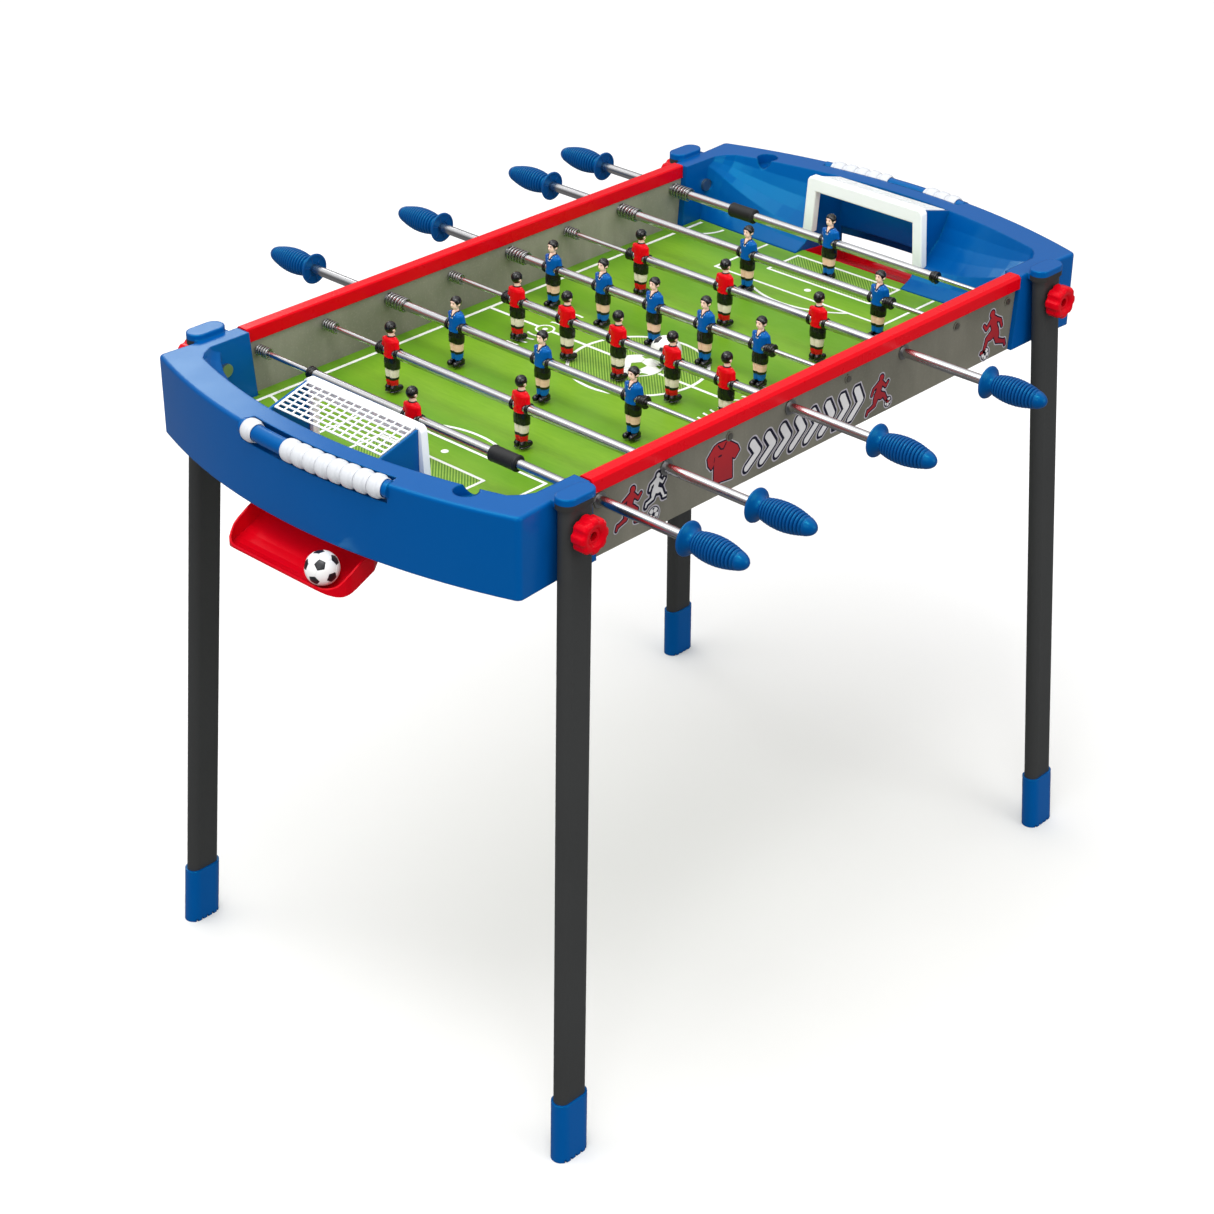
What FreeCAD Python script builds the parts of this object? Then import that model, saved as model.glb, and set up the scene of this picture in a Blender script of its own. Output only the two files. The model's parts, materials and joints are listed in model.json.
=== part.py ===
import FreeCAD, Part
import Sketcher
import math
import os
from FreeCAD import Vector, Placement, Rotation

# Children's football table on four splayed legs: eight telescopic player rods
# between two side panels, two moulded end shells with goals, ball trays and
# bead counters.  Millimetres; +Z up; origin on the floor, centred under the
# table; +X along the table towards the blue team's goal (right), -Y the side
# where the red team's handles are (front).

os.makedirs("parts", exist_ok=True)
doc = FreeCAD.newDocument("football_table")

# ---------------------------------------------------------------- sizes ----
# Rod, bush, spring, bolt, knob and bead sizes across their axis are radii.
SIZES = [
    # board and walls
    ("board_top", 680.0), ("board_thick", 5.0), ("board_half_len", 388.0),
    ("board_half_wide", 248.0), ("board_end_half_wide", 239.5),
    ("board_notch_x", 341.5),
    ("wall_bottom", 667.0), ("rim_top", 755.5),
    ("panel_inner", 248.0), ("panel_thick", 9.0), ("panel_top", 746.5),
    ("panel_half_len_low", 342.8), ("panel_half_len_high", 349.9),
    ("rail_inner", 245.5), ("rail_outer", 262.5), ("rail_low", 740.5),
    ("rail_high", 756.5), ("rail_bevel", 3.0), ("rail_half_len", 349.4),
    # rods
    ("rod_height", 728.5), ("rod_pitch", 95.5), ("tube_outer", 5.5),
    ("tube_inner", 4.2), ("core_radius", 3.0), ("run_gap", 0.05),
    ("bush_body", 7.0), ("bush_flange", 8.4), ("bush_flange_thick", 1.6),
    ("anchor_body", 4.4), ("anchor_flange", 5.2), ("anchor_flange_thick", 1.0),
    ("core_head", 3.5), ("core_head_thick", 1.2), ("core_collar", 4.6),
    ("core_collar_thick", 2.4), ("core_reach", 62.0), ("core_end_gap", 0.1),
    ("tube_past_man", 17.5), ("tube_past_goalie", 157.0),
    ("collar_outer", 7.2), ("collar_len", 9.0), ("collar_lip", 2.2),
    ("sleeve_outer", 9.0), ("sleeve_len", 37.4), ("sleeve_from_man", 115.5),
    # springs
    ("spring_long", 31.0), ("spring_short", 22.0), ("spring_gap", 0.3),
    ("wire_thick", 0.95), ("wire_thin", 0.8), ("coil_thick", 7.4), ("coil_thin", 5.6),
    # grips
    ("grip_len", 74.5), ("grip_flange", 18.0), ("grip_socket", 58.0),
    # end shells; the arc's centre lies arc_shift beyond the origin
    ("arc_radius", 761.0), ("arc_shift", 261.0), ("rim_wide", 38.0),
    ("shell_side_y", 262.0), ("shell_corner_y", 266.0),
    ("wing_inner", 240.0), ("skin", 3.0), ("pocket_half", 80.0),
    ("bar_radius", 9.0), ("bar_inset", 5.5), ("bar_height", 747.5),
    ("bar_slot", 13.4), ("bar_from_y", -80.0), ("bar_to_y", 125.0),
    ("scoop_x", 446.0), ("scoop_y", 190.0), ("scoop_radius", 13.0), ("scoop_floor", 743.0),
    # legs and feet
    ("foot_x", 430.0), ("foot_y", 307.0), ("cap_x", 383.6), ("cap_y", 272.4),
    ("leg_top", 755.0), ("leg_long", 40.0), ("leg_short", 18.0), ("leg_wall", 1.2),
    ("foot_long", 45.0), ("foot_short", 23.5), ("foot_high", 72.6), ("foot_floor", 6.0),
    ("cap_long", 46.0), ("cap_short", 24.0), ("cap_rise", 6.0), ("cap_skirt", 6.5),
    # knobs and their bolts
    ("knob_radius", 17.0), ("knob_thick", 14.0), ("knob_x", 385.8),
    ("knob_z", 723.5), ("knob_from", 284.6), ("dish_radius", 7.0), ("dish_deep", 3.0),
    ("bolt_radius", 4.0), ("bolt_gap", 0.3), ("bolt_head", 7.5), ("bolt_inner", 236.4),
    ("bolt_outer", 293.0), ("lobe_radius", 5.2), ("lobe_ring", 20.6),
    # goals
    ("goal_front", 397.0), ("goal_deep", 10.0), ("goal_top", 772.0),
    ("goal_bar", 18.0), ("goal_foot", 701.0), ("net_back", 453.0),
    ("net_low", 757.0), ("net_half", 79.0), ("net_thick", 1.2),
    # trays, beads, balls
    ("tray_skin", 2.5), ("tray_lip_x", 530.0), ("tray_half", 86.0),
    ("tray_neck", 79.6), ("bead_outer", 12.0), ("bead_waist", 10.4),
    ("bead_bore", 9.35), ("bead_pitch", 16.6), ("ball_radius", 17.75),
    ("ball_x", -512.6), ("ball_y", -53.0), ("ball_z", 646.25),
    ("match_ball_x", 18.0), ("match_ball_y", -26.5),
]

# Rods 1 to 8, from the red goalkeeper's to the blue one's.  Places are
# measured from the table's middle towards the rod's handle.
RODS = [
    # handle side (-1 red, +1 blue), players' places, grip flange's place
    (-1, [-4.0], 370.6),
    (-1, [-139.8, 57.1], 373.0),
    (+1, [138.7, 6.5, -125.6], 373.0),
    (-1, [-139.6, -61.7, 15.2, 94.2, 170.5], 369.6),
    (+1, [176.4, 97.2, 18.8, -57.2, -136.7], 360.5),
    (-1, [-126.5, 3.1, 139.1], 368.4),
    (+1, [44.3, -149.6], 363.1),
    (+1, [-1.6], 364.2),
]
ROD_NUMBERS = range(1, len(RODS) + 1)
HANDLE_SIDE = {n: RODS[n - 1][0] for n in ROD_NUMBERS}
SIDE_NAMES = {-1: "front", +1: "back"}

rod_sizes = []
for n, (side, men, flange) in enumerate(RODS, start=1):
    rod_sizes += [("rod_%d_man_%d" % (n, k), place) for k, place in enumerate(men, start=1)]
    rod_sizes.append(("rod_%d_flange" % n, flange))

sheet = doc.addObject("Spreadsheet::Sheet", "Sizes")
sheet.Label = "Sizes"
for row, (alias, number) in enumerate(SIZES + rod_sizes, start=2):
    sheet.set("A%d" % row, alias)
    sheet.set("B%d" % row, repr(number))
    sheet.setAlias("B%d" % row, alias)
doc.recompute()


class Cell:
    """A number with the sheet expression it comes from."""

    def __init__(self, value, text):
        self.value = float(value)
        self.text = text

    @staticmethod
    def of(item):
        return item if isinstance(item, Cell) else Cell(item, repr(float(item)))

    def __add__(self, other):
        other = Cell.of(other)
        return Cell(self.value + other.value, "(%s + %s)" % (self.text, other.text))

    def __sub__(self, other):
        other = Cell.of(other)
        return Cell(self.value - other.value, "(%s - %s)" % (self.text, other.text))

    def __mul__(self, other):
        other = Cell.of(other)
        return Cell(self.value * other.value, "(%s * %s)" % (self.text, other.text))

    def __neg__(self):
        return Cell(-self.value, "(0 - %s)" % self.text)


def mm(alias):
    """The sheet's value as a plain number."""
    return float(getattr(sheet, alias))


def dim(alias):
    """The sheet's value with its expression."""
    return Cell(mm(alias), "Sizes.%s" % alias)


# ---------------------------------------------------- document helpers ----
parts = []


def sub_part(obj, label):
    obj.Label = label
    parts.append((label, obj))


def add_shape(name, label, shape, place=None):
    obj = doc.addObject("Part::Feature", name)
    obj.Shape = shape
    if place is not None:
        obj.Placement = place
    sub_part(obj, label)


def bind_place(obj, **places):
    """Tie the object's x, y or z to the sheet."""
    for letter, cell in places.items():
        obj.setExpression("Placement.Base.%s" % letter, cell.text)


def new_body(name):
    return doc.addObject("PartDesign::Body", name)


def sketch_on(body, role, name, offset=None):
    plane = [f for f in body.Origin.OriginFeatures if f.Role == role][0]
    sketch = body.newObject("Sketcher::SketchObject", name)
    sketch.AttachmentSupport = (plane, [""])
    sketch.MapMode = "FlatFace"
    if offset is not None:
        sketch.setExpression("AttachmentOffset.Base.z", offset.text)
        sketch.AttachmentOffset = Placement(Vector(0, 0, offset.value), Rotation())
    return sketch


def pin_point(sketch, geometry, point, x, y):
    """Tie a sketch point to the sheet, or to an axis it lies on."""
    for kind, axis, cell in (("DistanceX", -2, x), ("DistanceY", -1, y)):
        if abs(cell.value) < 1e-9:
            sketch.addConstraint(Sketcher.Constraint("PointOnObject", geometry, point, axis))
            continue
        index = sketch.addConstraint(
            Sketcher.Constraint(kind, -1, 1, geometry, point, cell.value))
        sketch.setExpression("Constraints[%d]" % index, cell.text)


def draw_polygon(sketch, points):
    """Closed polygon in an empty sketch, with every corner pinned."""
    cells = [(Cell.of(x), Cell.of(y)) for x, y in points]
    corners = [Vector(x.value, y.value, 0) for x, y in cells]
    count = len(corners)
    sketch.addGeometry([Part.LineSegment(corners[i], corners[(i + 1) % count])
                        for i in range(count)], False)
    for i in range(count):
        sketch.addConstraint(Sketcher.Constraint("Coincident", i, 2, (i + 1) % count, 1))
    for i, (x, y) in enumerate(cells):
        pin_point(sketch, i, 1, x, y)


def draw_circle(sketch, x, y, radius):
    x, y, radius = Cell.of(x), Cell.of(y), Cell.of(radius)
    round_line = Part.Circle(Vector(x.value, y.value, 0), Vector(0, 0, 1), radius.value)
    geometry = sketch.addGeometry(round_line, False)
    index = sketch.addConstraint(Sketcher.Constraint("Radius", geometry, radius.value))
    sketch.setExpression("Constraints[%d]" % index, radius.text)
    pin_point(sketch, geometry, 3, x, y)


def pad(body, sketch, length, name, midplane=False, reverse=False):
    feature = body.newObject("PartDesign::Pad", name)
    feature.Profile = sketch
    feature.Length = length.value
    feature.setExpression("Length", length.text)
    feature.Midplane = midplane
    feature.Reversed = reverse


def cut_through(body, sketch, name):
    """Pocket through the whole body both ways; it must remove something."""
    doc.recompute()
    before = body.Shape.Volume
    feature = body.newObject("PartDesign::Pocket", name)
    feature.Profile = sketch
    feature.Type = "ThroughAll"
    feature.Midplane = True
    body.Tip = feature
    doc.recompute()
    if body.Shape.Volume > before - 1:
        raise RuntimeError("%s cut nothing" % name)
    return feature


def turned_body(name, pattern, points):
    """Body turned about Z from (radius, height) points."""
    body = new_body(name)
    sketch = sketch_on(body, "XZ_Plane", pattern % "Profile")
    draw_polygon(sketch, points)
    feature = body.newObject("PartDesign::Revolution", pattern % "Turned")
    feature.Profile = sketch
    feature.ReferenceAxis = (sketch, ["V_Axis"])
    feature.Angle = 360.0
    doc.recompute()
    return body


# ------------------------------------------------------- shape helpers ----
def closed_wire(points):
    return Part.makePolygon(points + [points[0]])


def face_xz(points, y=0.0):
    return Part.Face(closed_wire([Vector(x, y, z) for x, z in points]))


def face_xy(points, z):
    return Part.Face(closed_wire([Vector(x, y, z) for x, y in points]))


def face_yz(points, x):
    return Part.Face(closed_wire([Vector(x, y, z) for y, z in points]))


def turned_shape(points):
    """Solid turned about Z from (radius, height) points."""
    return face_xz(points).revolve(Vector(0, 0, 0), Vector(0, 0, 1), 360)


def box_across(x, length, half_wide, z, height):
    """Box centred on the table's long axis."""
    return Part.makeBox(length, 2 * half_wide, height, Vector(x, -half_wide, z))


def slot_wire(x, y, z, long, short):
    """Flat oval: straight long sides along X and round ends."""
    radius = short / 2.0
    straight = long / 2.0 - radius
    corners = [Vector(x - straight, y - radius, z), Vector(x + straight, y - radius, z),
               Vector(x + straight, y + radius, z), Vector(x - straight, y + radius, z)]
    right_end = Vector(x + straight + radius, y, z)
    left_end = Vector(x - straight - radius, y, z)
    curves = [Part.LineSegment(corners[0], corners[1]),
              Part.Arc(corners[1], right_end, corners[2]),
              Part.LineSegment(corners[2], corners[3]),
              Part.Arc(corners[3], left_end, corners[0])]
    return Part.Wire([curve.toShape() for curve in curves])


def single(shape):
    """The solid itself where a boolean wrapped it in a compound."""
    return shape.Solids[0] if shape.ShapeType == "Compound" else shape


def turn_half(shape):
    """The same moulding at the table's other end: half a turn about Z."""
    turned = shape.copy()
    turned.rotate(Vector(0, 0, 0), Vector(0, 0, 1), 180)
    return turned


def add_both_ends(name, label, shape):
    add_shape(name + "Right", label + "_right", shape)
    add_shape(name + "Left", label + "_left", turn_half(shape))


def along(side):
    """Turn a local +Z axis to the table's +Y or -Y."""
    return Rotation(Vector(1, 0, 0), -90 * side)


def rod_x(n):
    return dim("rod_pitch") * (n - 4.5)


def rod_place(n, side, distance=0.0):
    """Local +Z runs along rod n towards the side, starting at the distance."""
    return Placement(Vector(rod_x(n).value, side * distance, mm("rod_height")), along(side))


def on_rod(shape, n, side):
    placed = shape.copy()
    placed.Placement = rod_place(n, side).multiply(placed.Placement)
    return placed


# ------------------------------------------------------------ playfield ----
def make_playfield():
    body = new_body("PlayfieldBody")
    sketch = sketch_on(body, "XY_Plane", "PlayfieldOutline", dim("board_top"))
    end_x, notch_x = dim("board_half_len"), dim("board_notch_x")
    wide_y, end_y = dim("board_half_wide"), dim("board_end_half_wide")
    draw_polygon(sketch, [
        (-end_x, -end_y), (-notch_x, -end_y), (-notch_x, -wide_y), (notch_x, -wide_y),
        (notch_x, -end_y), (end_x, -end_y), (end_x, end_y), (notch_x, end_y),
        (notch_x, wide_y), (-notch_x, wide_y), (-notch_x, end_y), (-end_x, end_y)])
    pad(body, sketch, dim("board_thick"), "PlayfieldSheet", reverse=True)
    sub_part(body, "playfield")


make_playfield()


# ------------------------------------------------ side panels and rails ----
def make_panel(side):
    """Panel with a tube bush hole or an inner rod's bush hole at each rod."""
    name = SIDE_NAMES[side].capitalize()
    body = new_body("Panel%s" % name)
    # the XZ sketch plane's normal is -Y
    offset = dim("panel_inner") * -side
    outline_sketch = sketch_on(body, "XZ_Plane", "PanelOutline%s" % name, offset)
    low, high = dim("panel_half_len_low"), dim("panel_half_len_high")
    bottom, top = dim("wall_bottom"), dim("panel_top")
    draw_polygon(outline_sketch, [(-low, bottom), (low, bottom), (high, top), (-high, top)])
    pad(body, outline_sketch, dim("panel_thick"), "PanelSheet%s" % name, reverse=(side > 0))
    holes = sketch_on(body, "XZ_Plane", "PanelHoles%s" % name, offset)
    for n in ROD_NUMBERS:
        radius = dim("bush_body") if HANDLE_SIDE[n] == side else dim("anchor_body")
        draw_circle(holes, rod_x(n), dim("rod_height"), radius)
    cut_through(body, holes, "PanelHoleCut%s" % name)
    sub_part(body, "side_panel_%s" % SIDE_NAMES[side])


def make_rail(side):
    """Red rail that straddles the panel's top edge."""
    name = SIDE_NAMES[side].capitalize()
    body = new_body("Rail%s" % name)
    sketch = sketch_on(body, "YZ_Plane", "RailProfile%s" % name)
    inner, outer = dim("rail_inner") * side, dim("rail_outer") * side
    panel_in = dim("panel_inner") * side
    panel_out = (dim("panel_inner") + dim("panel_thick")) * side
    low, high, groove_top = dim("rail_low"), dim("rail_high"), dim("panel_top")
    bevel = dim("rail_bevel")
    draw_polygon(sketch, [
        (inner, low), (panel_in, low), (panel_in, groove_top), (panel_out, groove_top),
        (panel_out, low), (outer, low), (outer, high - bevel), (outer - bevel * side, high),
        (inner + bevel * side * 0.5, high), (inner, high - bevel * 0.5)])
    pad(body, sketch, dim("rail_half_len") * 2, "RailSolid%s" % name, midplane=True)
    sub_part(body, "side_rail_%s" % SIDE_NAMES[side])


for side in (-1, +1):
    make_panel(side)
for side in (-1, +1):
    make_rail(side)


# -------------------------------------------------------- rod bushings ----
# A chromed flanged bush carries each tube where it leaves the panel; a small
# black bush carries the inner rod at the opposite panel.
def bush_shape(name, bore, radius, flange, thick):
    inner = dim("panel_inner")
    outer = inner + dim("panel_thick")
    return turned_body(name, name + "%s", [
        (bore, inner), (radius, inner), (radius, outer), (flange, outer),
        (flange, outer + thick), (bore, outer + thick)]).Shape


tube_bush = bush_shape("TubeBushMaster", dim("tube_outer") + dim("run_gap"),
                       dim("bush_body"), dim("bush_flange"), dim("bush_flange_thick"))
core_bush = bush_shape("AnchorBushMaster", dim("core_radius") + dim("run_gap"),
                       dim("anchor_body"), dim("anchor_flange"), dim("anchor_flange_thick"))
add_shape("TubeBushes", "tube_bushings", Part.makeCompound(
    [on_rod(tube_bush, n, HANDLE_SIDE[n]) for n in ROD_NUMBERS]))
add_shape("AnchorBushes", "core_bushings", Part.makeCompound(
    [on_rod(core_bush, n, -HANDLE_SIDE[n]) for n in ROD_NUMBERS]))


# ------------------------------------------------------------- springs ----
def panel_spring(length, turns, coil_radius, wire_radius):
    """Spring along +Z whose far end stands just inside the panel."""
    gap = mm("spring_gap")
    pitch = (length - 2 * gap - 2 * wire_radius) / turns
    helix = Part.makeHelix(pitch, pitch * turns, coil_radius)
    section = Part.Circle(Vector(coil_radius, 0, 0), Vector(0, 1, 0), wire_radius)
    coil = Part.Wire(helix.Edges).makePipeShell([Part.Wire([section.toShape()])], True, True)
    coil.translate(Vector(0, 0, wire_radius))
    # the sweep may come back as a shell or a compound
    if coil.ShapeType != "Solid":
        coil = Part.Solid(coil) if coil.ShapeType == "Shell" else coil.Solids[0]
    coil.translate(Vector(0, 0, mm("panel_inner") - length + gap))
    return coil


long_spring = panel_spring(mm("spring_long"), 5.5, mm("coil_thick"), mm("wire_thick"))
short_spring = panel_spring(mm("spring_short"), 4.5, mm("coil_thin"), mm("wire_thin"))
springs = []
for n in ROD_NUMBERS:
    springs.append(on_rod(long_spring, n, HANDLE_SIDE[n]))
    springs.append(on_rod(short_spring, n, -HANDLE_SIDE[n]))
add_shape("RodSprings", "rod_springs", Part.makeCompound(springs))


# --------------------------------------------------- inner rods, tubes ----
def men_places(n):
    count = len(RODS[n - 1][1])
    return [dim("rod_%d_man_%d" % (n, k)) for k in range(1, count + 1)]


def tube_start(n):
    """Tube's end past the player farthest from the handle."""
    men = men_places(n)
    past = dim("tube_past_goalie") if len(men) == 1 else dim("tube_past_man")
    return min(men, key=lambda place: place.value) - past


def add_turned_on_rod(stem, n, side, points, label):
    body = turned_body("%sBody%d" % (stem, n), "%s%%s%d" % (stem, n), points)
    body.Placement = rod_place(n, side)
    bind_place(body, x=rod_x(n), z=dim("rod_height"))
    sub_part(body, label)


def make_inner_rod(n):
    """Thin rod held endwise in the panel opposite the handle; it turns there
    and the tube slides over its free end.  Local +Z points away from the handle."""
    gap = dim("core_end_gap")
    radius, collar, head = dim("core_radius"), dim("core_collar"), dim("core_head")
    free_end = -dim("core_reach")
    collar_from = dim("panel_inner") - dim("core_collar_thick") - gap
    collar_to = dim("panel_inner") - gap
    head_from = dim("panel_inner") + dim("panel_thick") + dim("anchor_flange_thick") + gap
    head_to = head_from + dim("core_head_thick")
    add_turned_on_rod("Core", n, -HANDLE_SIDE[n], [
        (0.0, free_end), (radius, free_end), (radius, collar_from), (collar, collar_from),
        (collar, collar_to), (radius, collar_to), (radius, head_from), (head, head_from),
        (head, head_to), (0.0, head_to)], "rod_%d_inner_rod" % n)


def make_tube(n):
    start = tube_start(n)
    end = dim("rod_%d_flange" % n) + dim("grip_socket")
    inner, outer = dim("tube_inner"), dim("tube_outer")
    add_turned_on_rod("Tube", n, HANDLE_SIDE[n], [
        (inner, start), (outer, start), (outer, end), (inner, end)], "rod_%d_tube" % n)


for n in ROD_NUMBERS:
    make_inner_rod(n)
    make_tube(n)

# ------------------------------------------------------------- players ----
# One moulded figure, axis of its bore along Y at z = 0, facing +X.
FIGURE = [
    # height, centre x, half depth, half width: soles to crown
    (-45.5, 1.5, 8.4, 6.9), (-43.6, 1.5, 9.3, 7.8), (-40.6, 1.1, 8.6, 7.8),
    (-38.5, 0.2, 6.0, 7.2), (-37.7, 0.0, 5.2, 6.8), (-31.0, -0.2, 5.5, 7.2),
    (-24.0, 0.0, 5.8, 8.0), (-18.6, 0.1, 6.0, 8.5), (-18.2, 0.2, 7.0, 9.8),
    (-11.0, 0.1, 7.2, 10.0), (-4.6, 0.0, 6.6, 9.5), (2.0, 0.0, 6.8, 9.5),
    (9.0, -0.2, 7.2, 10.4), (14.5, -0.4, 6.9, 11.3), (17.6, -0.5, 5.4, 8.6),
    (19.4, -0.4, 3.4, 4.4), (20.4, -0.2, 3.0, 3.2), (21.2, 0.0, 3.8, 3.6),
    (22.8, 0.2, 5.2, 4.8), (25.2, 0.2, 6.3, 5.8), (28.2, 0.2, 6.6, 6.1),
    (31.2, 0.2, 5.7, 5.3), (33.4, 0.2, 3.6, 3.4), (34.5, 0.2, 1.4, 1.3),
]
RING_CORNERS = 16
RING_POWER = 0.88       # below 1 squares the oval a little
BOSS_RADIUS, BOSS_LEN = 8.0, 26.0


def oval_ring(centre_x, z, half_deep, half_wide):
    def squared(ratio):
        return math.copysign(abs(ratio) ** RING_POWER, ratio)
    points = []
    for i in range(RING_CORNERS):
        angle = 2 * math.pi * (i + 0.5) / RING_CORNERS
        points.append(Vector(centre_x + half_deep * squared(math.cos(angle)),
                             half_wide * squared(math.sin(angle)), z))
    return closed_wire(points)


def figure_shape():
    rings = [oval_ring(centre_x, z, deep, wide) for z, centre_x, deep, wide in FIGURE]
    solid = Part.makeLoft(rings, True, True)
    axis = Vector(0, 1, 0)
    boss = Part.makeCylinder(BOSS_RADIUS, BOSS_LEN, Vector(0, -BOSS_LEN / 2, 0), axis)
    bore = Part.makeCylinder(mm("tube_outer"), 60.0, Vector(0, -30.0, 0), axis)
    return single(solid.fuse(boss).cut(bore))


def end_collar(start):
    """Black collar that closes the tube's mouth round the inner rod."""
    collar = Part.makeCylinder(mm("collar_outer"), mm("collar_len"),
                               Vector(0, 0, start - mm("collar_lip")))
    collar = collar.cut(Part.makeCylinder(mm("tube_outer"), 30, Vector(0, 0, start)))
    core_bore = mm("core_radius") + mm("run_gap")
    return collar.cut(Part.makeCylinder(core_bore, 40, Vector(0, 0, start - 10)))


def stop_sleeve(start):
    """Sleeve between the goalkeeper and the handle-side spring."""
    length = mm("sleeve_len")
    sleeve = Part.makeCylinder(mm("sleeve_outer"), length, Vector(0, 0, start))
    return sleeve.cut(Part.makeCylinder(mm("tube_outer"), length + 2, Vector(0, 0, start - 1)))


def make_players(n, figure):
    side = HANDLE_SIDE[n]
    men = men_places(n)
    solids = []
    for place in men:
        # red men face +X, blue men -X
        man = figure.copy() if side < 0 else turn_half(figure)
        man.translate(Vector(rod_x(n).value, side * place.value, mm("rod_height")))
        solids.append(man)
    solids.append(on_rod(end_collar(tube_start(n).value), n, side))
    if len(men) == 1:
        sleeve = stop_sleeve(men[0].value + mm("sleeve_from_man"))
        solids.append(on_rod(sleeve, n, side))
    add_shape("Men%d" % n, "rod_%d_players" % n, Part.makeCompound(solids))


figure = figure_shape()
for n in ROD_NUMBERS:
    make_players(n, figure)

# --------------------------------------------------------------- grips ----
RIB_COUNT = 13
RIBS_FROM, RIBS_TO = 13.0, 62.0
RIB_PITCH = (RIBS_TO - RIBS_FROM) / RIB_COUNT


def grip_radius(z):
    """Mean radius of the barrel-shaped ribbed part."""
    ratio = (z - RIBS_FROM) / (RIBS_TO - RIBS_FROM)
    return 11.4 + 2.9 * math.sin(math.pi * (ratio * 0.9 + 0.06))


def grip_shape():
    """Ribbed grip along +Z, flange at z = 0, blind socket for the tube."""
    flange, length, socket = mm("grip_flange"), mm("grip_len"), mm("grip_socket")
    bore = mm("tube_outer")
    # (radius, height): dished flange and neck
    points = [(bore, 3.0), (11.0, 3.0), (15.5, 0.6), (flange, 0.0), (flange, 1.8),
              (15.0, 4.4), (11.0, 6.6), (9.6, 9.4), (10.4, 12.0)]
    for i in range(RIB_COUNT):
        z = RIBS_FROM + i * RIB_PITCH
        crest = grip_radius(z) + 0.1
        points += [(grip_radius(z) - 0.9, z), (crest, z + 0.28 * RIB_PITCH),
                   (crest, z + 0.72 * RIB_PITCH)]
    # domed end, then back along the axis to the socket
    last = grip_radius(RIBS_TO)
    points += [(last - 0.7, RIBS_TO), (last - 0.3, RIBS_TO + 2.0), (10.9, 67.0), (9.2, 70.6),
               (6.2, 73.4), (2.6, length), (0.0, length), (0.0, socket), (bore, socket)]
    return turned_shape(points)


grip = grip_shape()
for n in ROD_NUMBERS:
    add_shape("Grip%d" % n, "rod_%d_handle" % n, grip,
              rod_place(n, HANDLE_SIDE[n], mm("rod_%d_flange" % n)))

# ------------------------------------------------- legs, feet and bolts ----
CORNERS = [
    # x side, y side, name
    (-1, -1, "front_left"), (1, -1, "front_right"), (-1, 1, "back_left"), (1, 1, "back_right"),
]
NOTCH_PITCH, NOTCH_WIDE, NOTCH_HIGH = 7.5, 2.2, 3.2
NOTCH_LEN = 40.0
lean_x = (mm("foot_x") - mm("cap_x")) / mm("leg_top")
lean_y = (mm("foot_y") - mm("cap_y")) / mm("leg_top")


def leg_centre(x_side, y_side, z):
    """Centre of the splayed leg tube at height z."""
    return x_side * (mm("foot_x") - lean_x * z), y_side * (mm("foot_y") - lean_y * z)


def leg_bar(x_side, y_side, long, short, z_low, z_high):
    """Flat oval bar that follows the splayed leg."""
    wires = []
    for z in (z_low, z_high):
        x, y = leg_centre(x_side, y_side, z)
        wires.append(slot_wire(x, y, z, long, short))
    return Part.makeLoft(wires, True, True)


def bolt_bar(x_side, y_side, radius, y_from, y_to):
    """Bar on the bolt's axis between two distances from the middle."""
    low = min(y_side * y_from, y_side * y_to)
    return Part.makeCylinder(radius, y_to - y_from,
                             Vector(x_side * mm("knob_x"), low, mm("knob_z")), Vector(0, 1, 0))


def leg_tube(x_side, y_side):
    long, short, top = mm("leg_long"), mm("leg_short"), mm("leg_top")
    walls = 2 * mm("leg_wall")
    tube = leg_bar(x_side, y_side, long, short, mm("foot_floor"), top)
    tube = tube.cut(leg_bar(x_side, y_side, long - walls, short - walls, 0.0, top + 5))
    return tube.cut(bolt_bar(x_side, y_side, mm("bolt_radius") + mm("bolt_gap"), 255, 300))


def foot_cup(x_side, y_side):
    high = mm("foot_high")
    cup = leg_bar(x_side, y_side, mm("foot_long"), mm("foot_short"), 0.0, high)
    cup = cup.cut(leg_bar(x_side, y_side, mm("leg_long"), mm("leg_short"),
                          mm("foot_floor"), high + 5))
    # notches between the tread lugs
    x, y = leg_centre(x_side, y_side, 0.0)
    for i in range(-2, 3):
        corner = Vector(x + i * NOTCH_PITCH - NOTCH_WIDE / 2, y - NOTCH_LEN / 2, 0.0)
        cup = cup.cut(Part.makeBox(NOTCH_WIDE, NOTCH_LEN, NOTCH_HIGH, corner))
    return cup


def leg_bolt(x_side, y_side):
    """Head inside the wing, shank through wing and leg."""
    inner = mm("bolt_inner")
    shank = bolt_bar(x_side, y_side, mm("bolt_radius"), inner, mm("bolt_outer"))
    head = bolt_bar(x_side, y_side, mm("bolt_head"), inner, mm("wing_inner"))
    return shank.fuse(head).removeSplitter().Solids[0]


for name, label, make in (("Legs", "legs", leg_tube), ("FootCups", "foot_cups", foot_cup),
                          ("LegBolts", "leg_bolts", leg_bolt)):
    add_shape(name, label, Part.makeCompound(
        [make(x_side, y_side) for x_side, y_side, where in CORNERS]))

# --------------------------------------------------------------- knobs ----
LOBE_CUTS = 8


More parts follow.
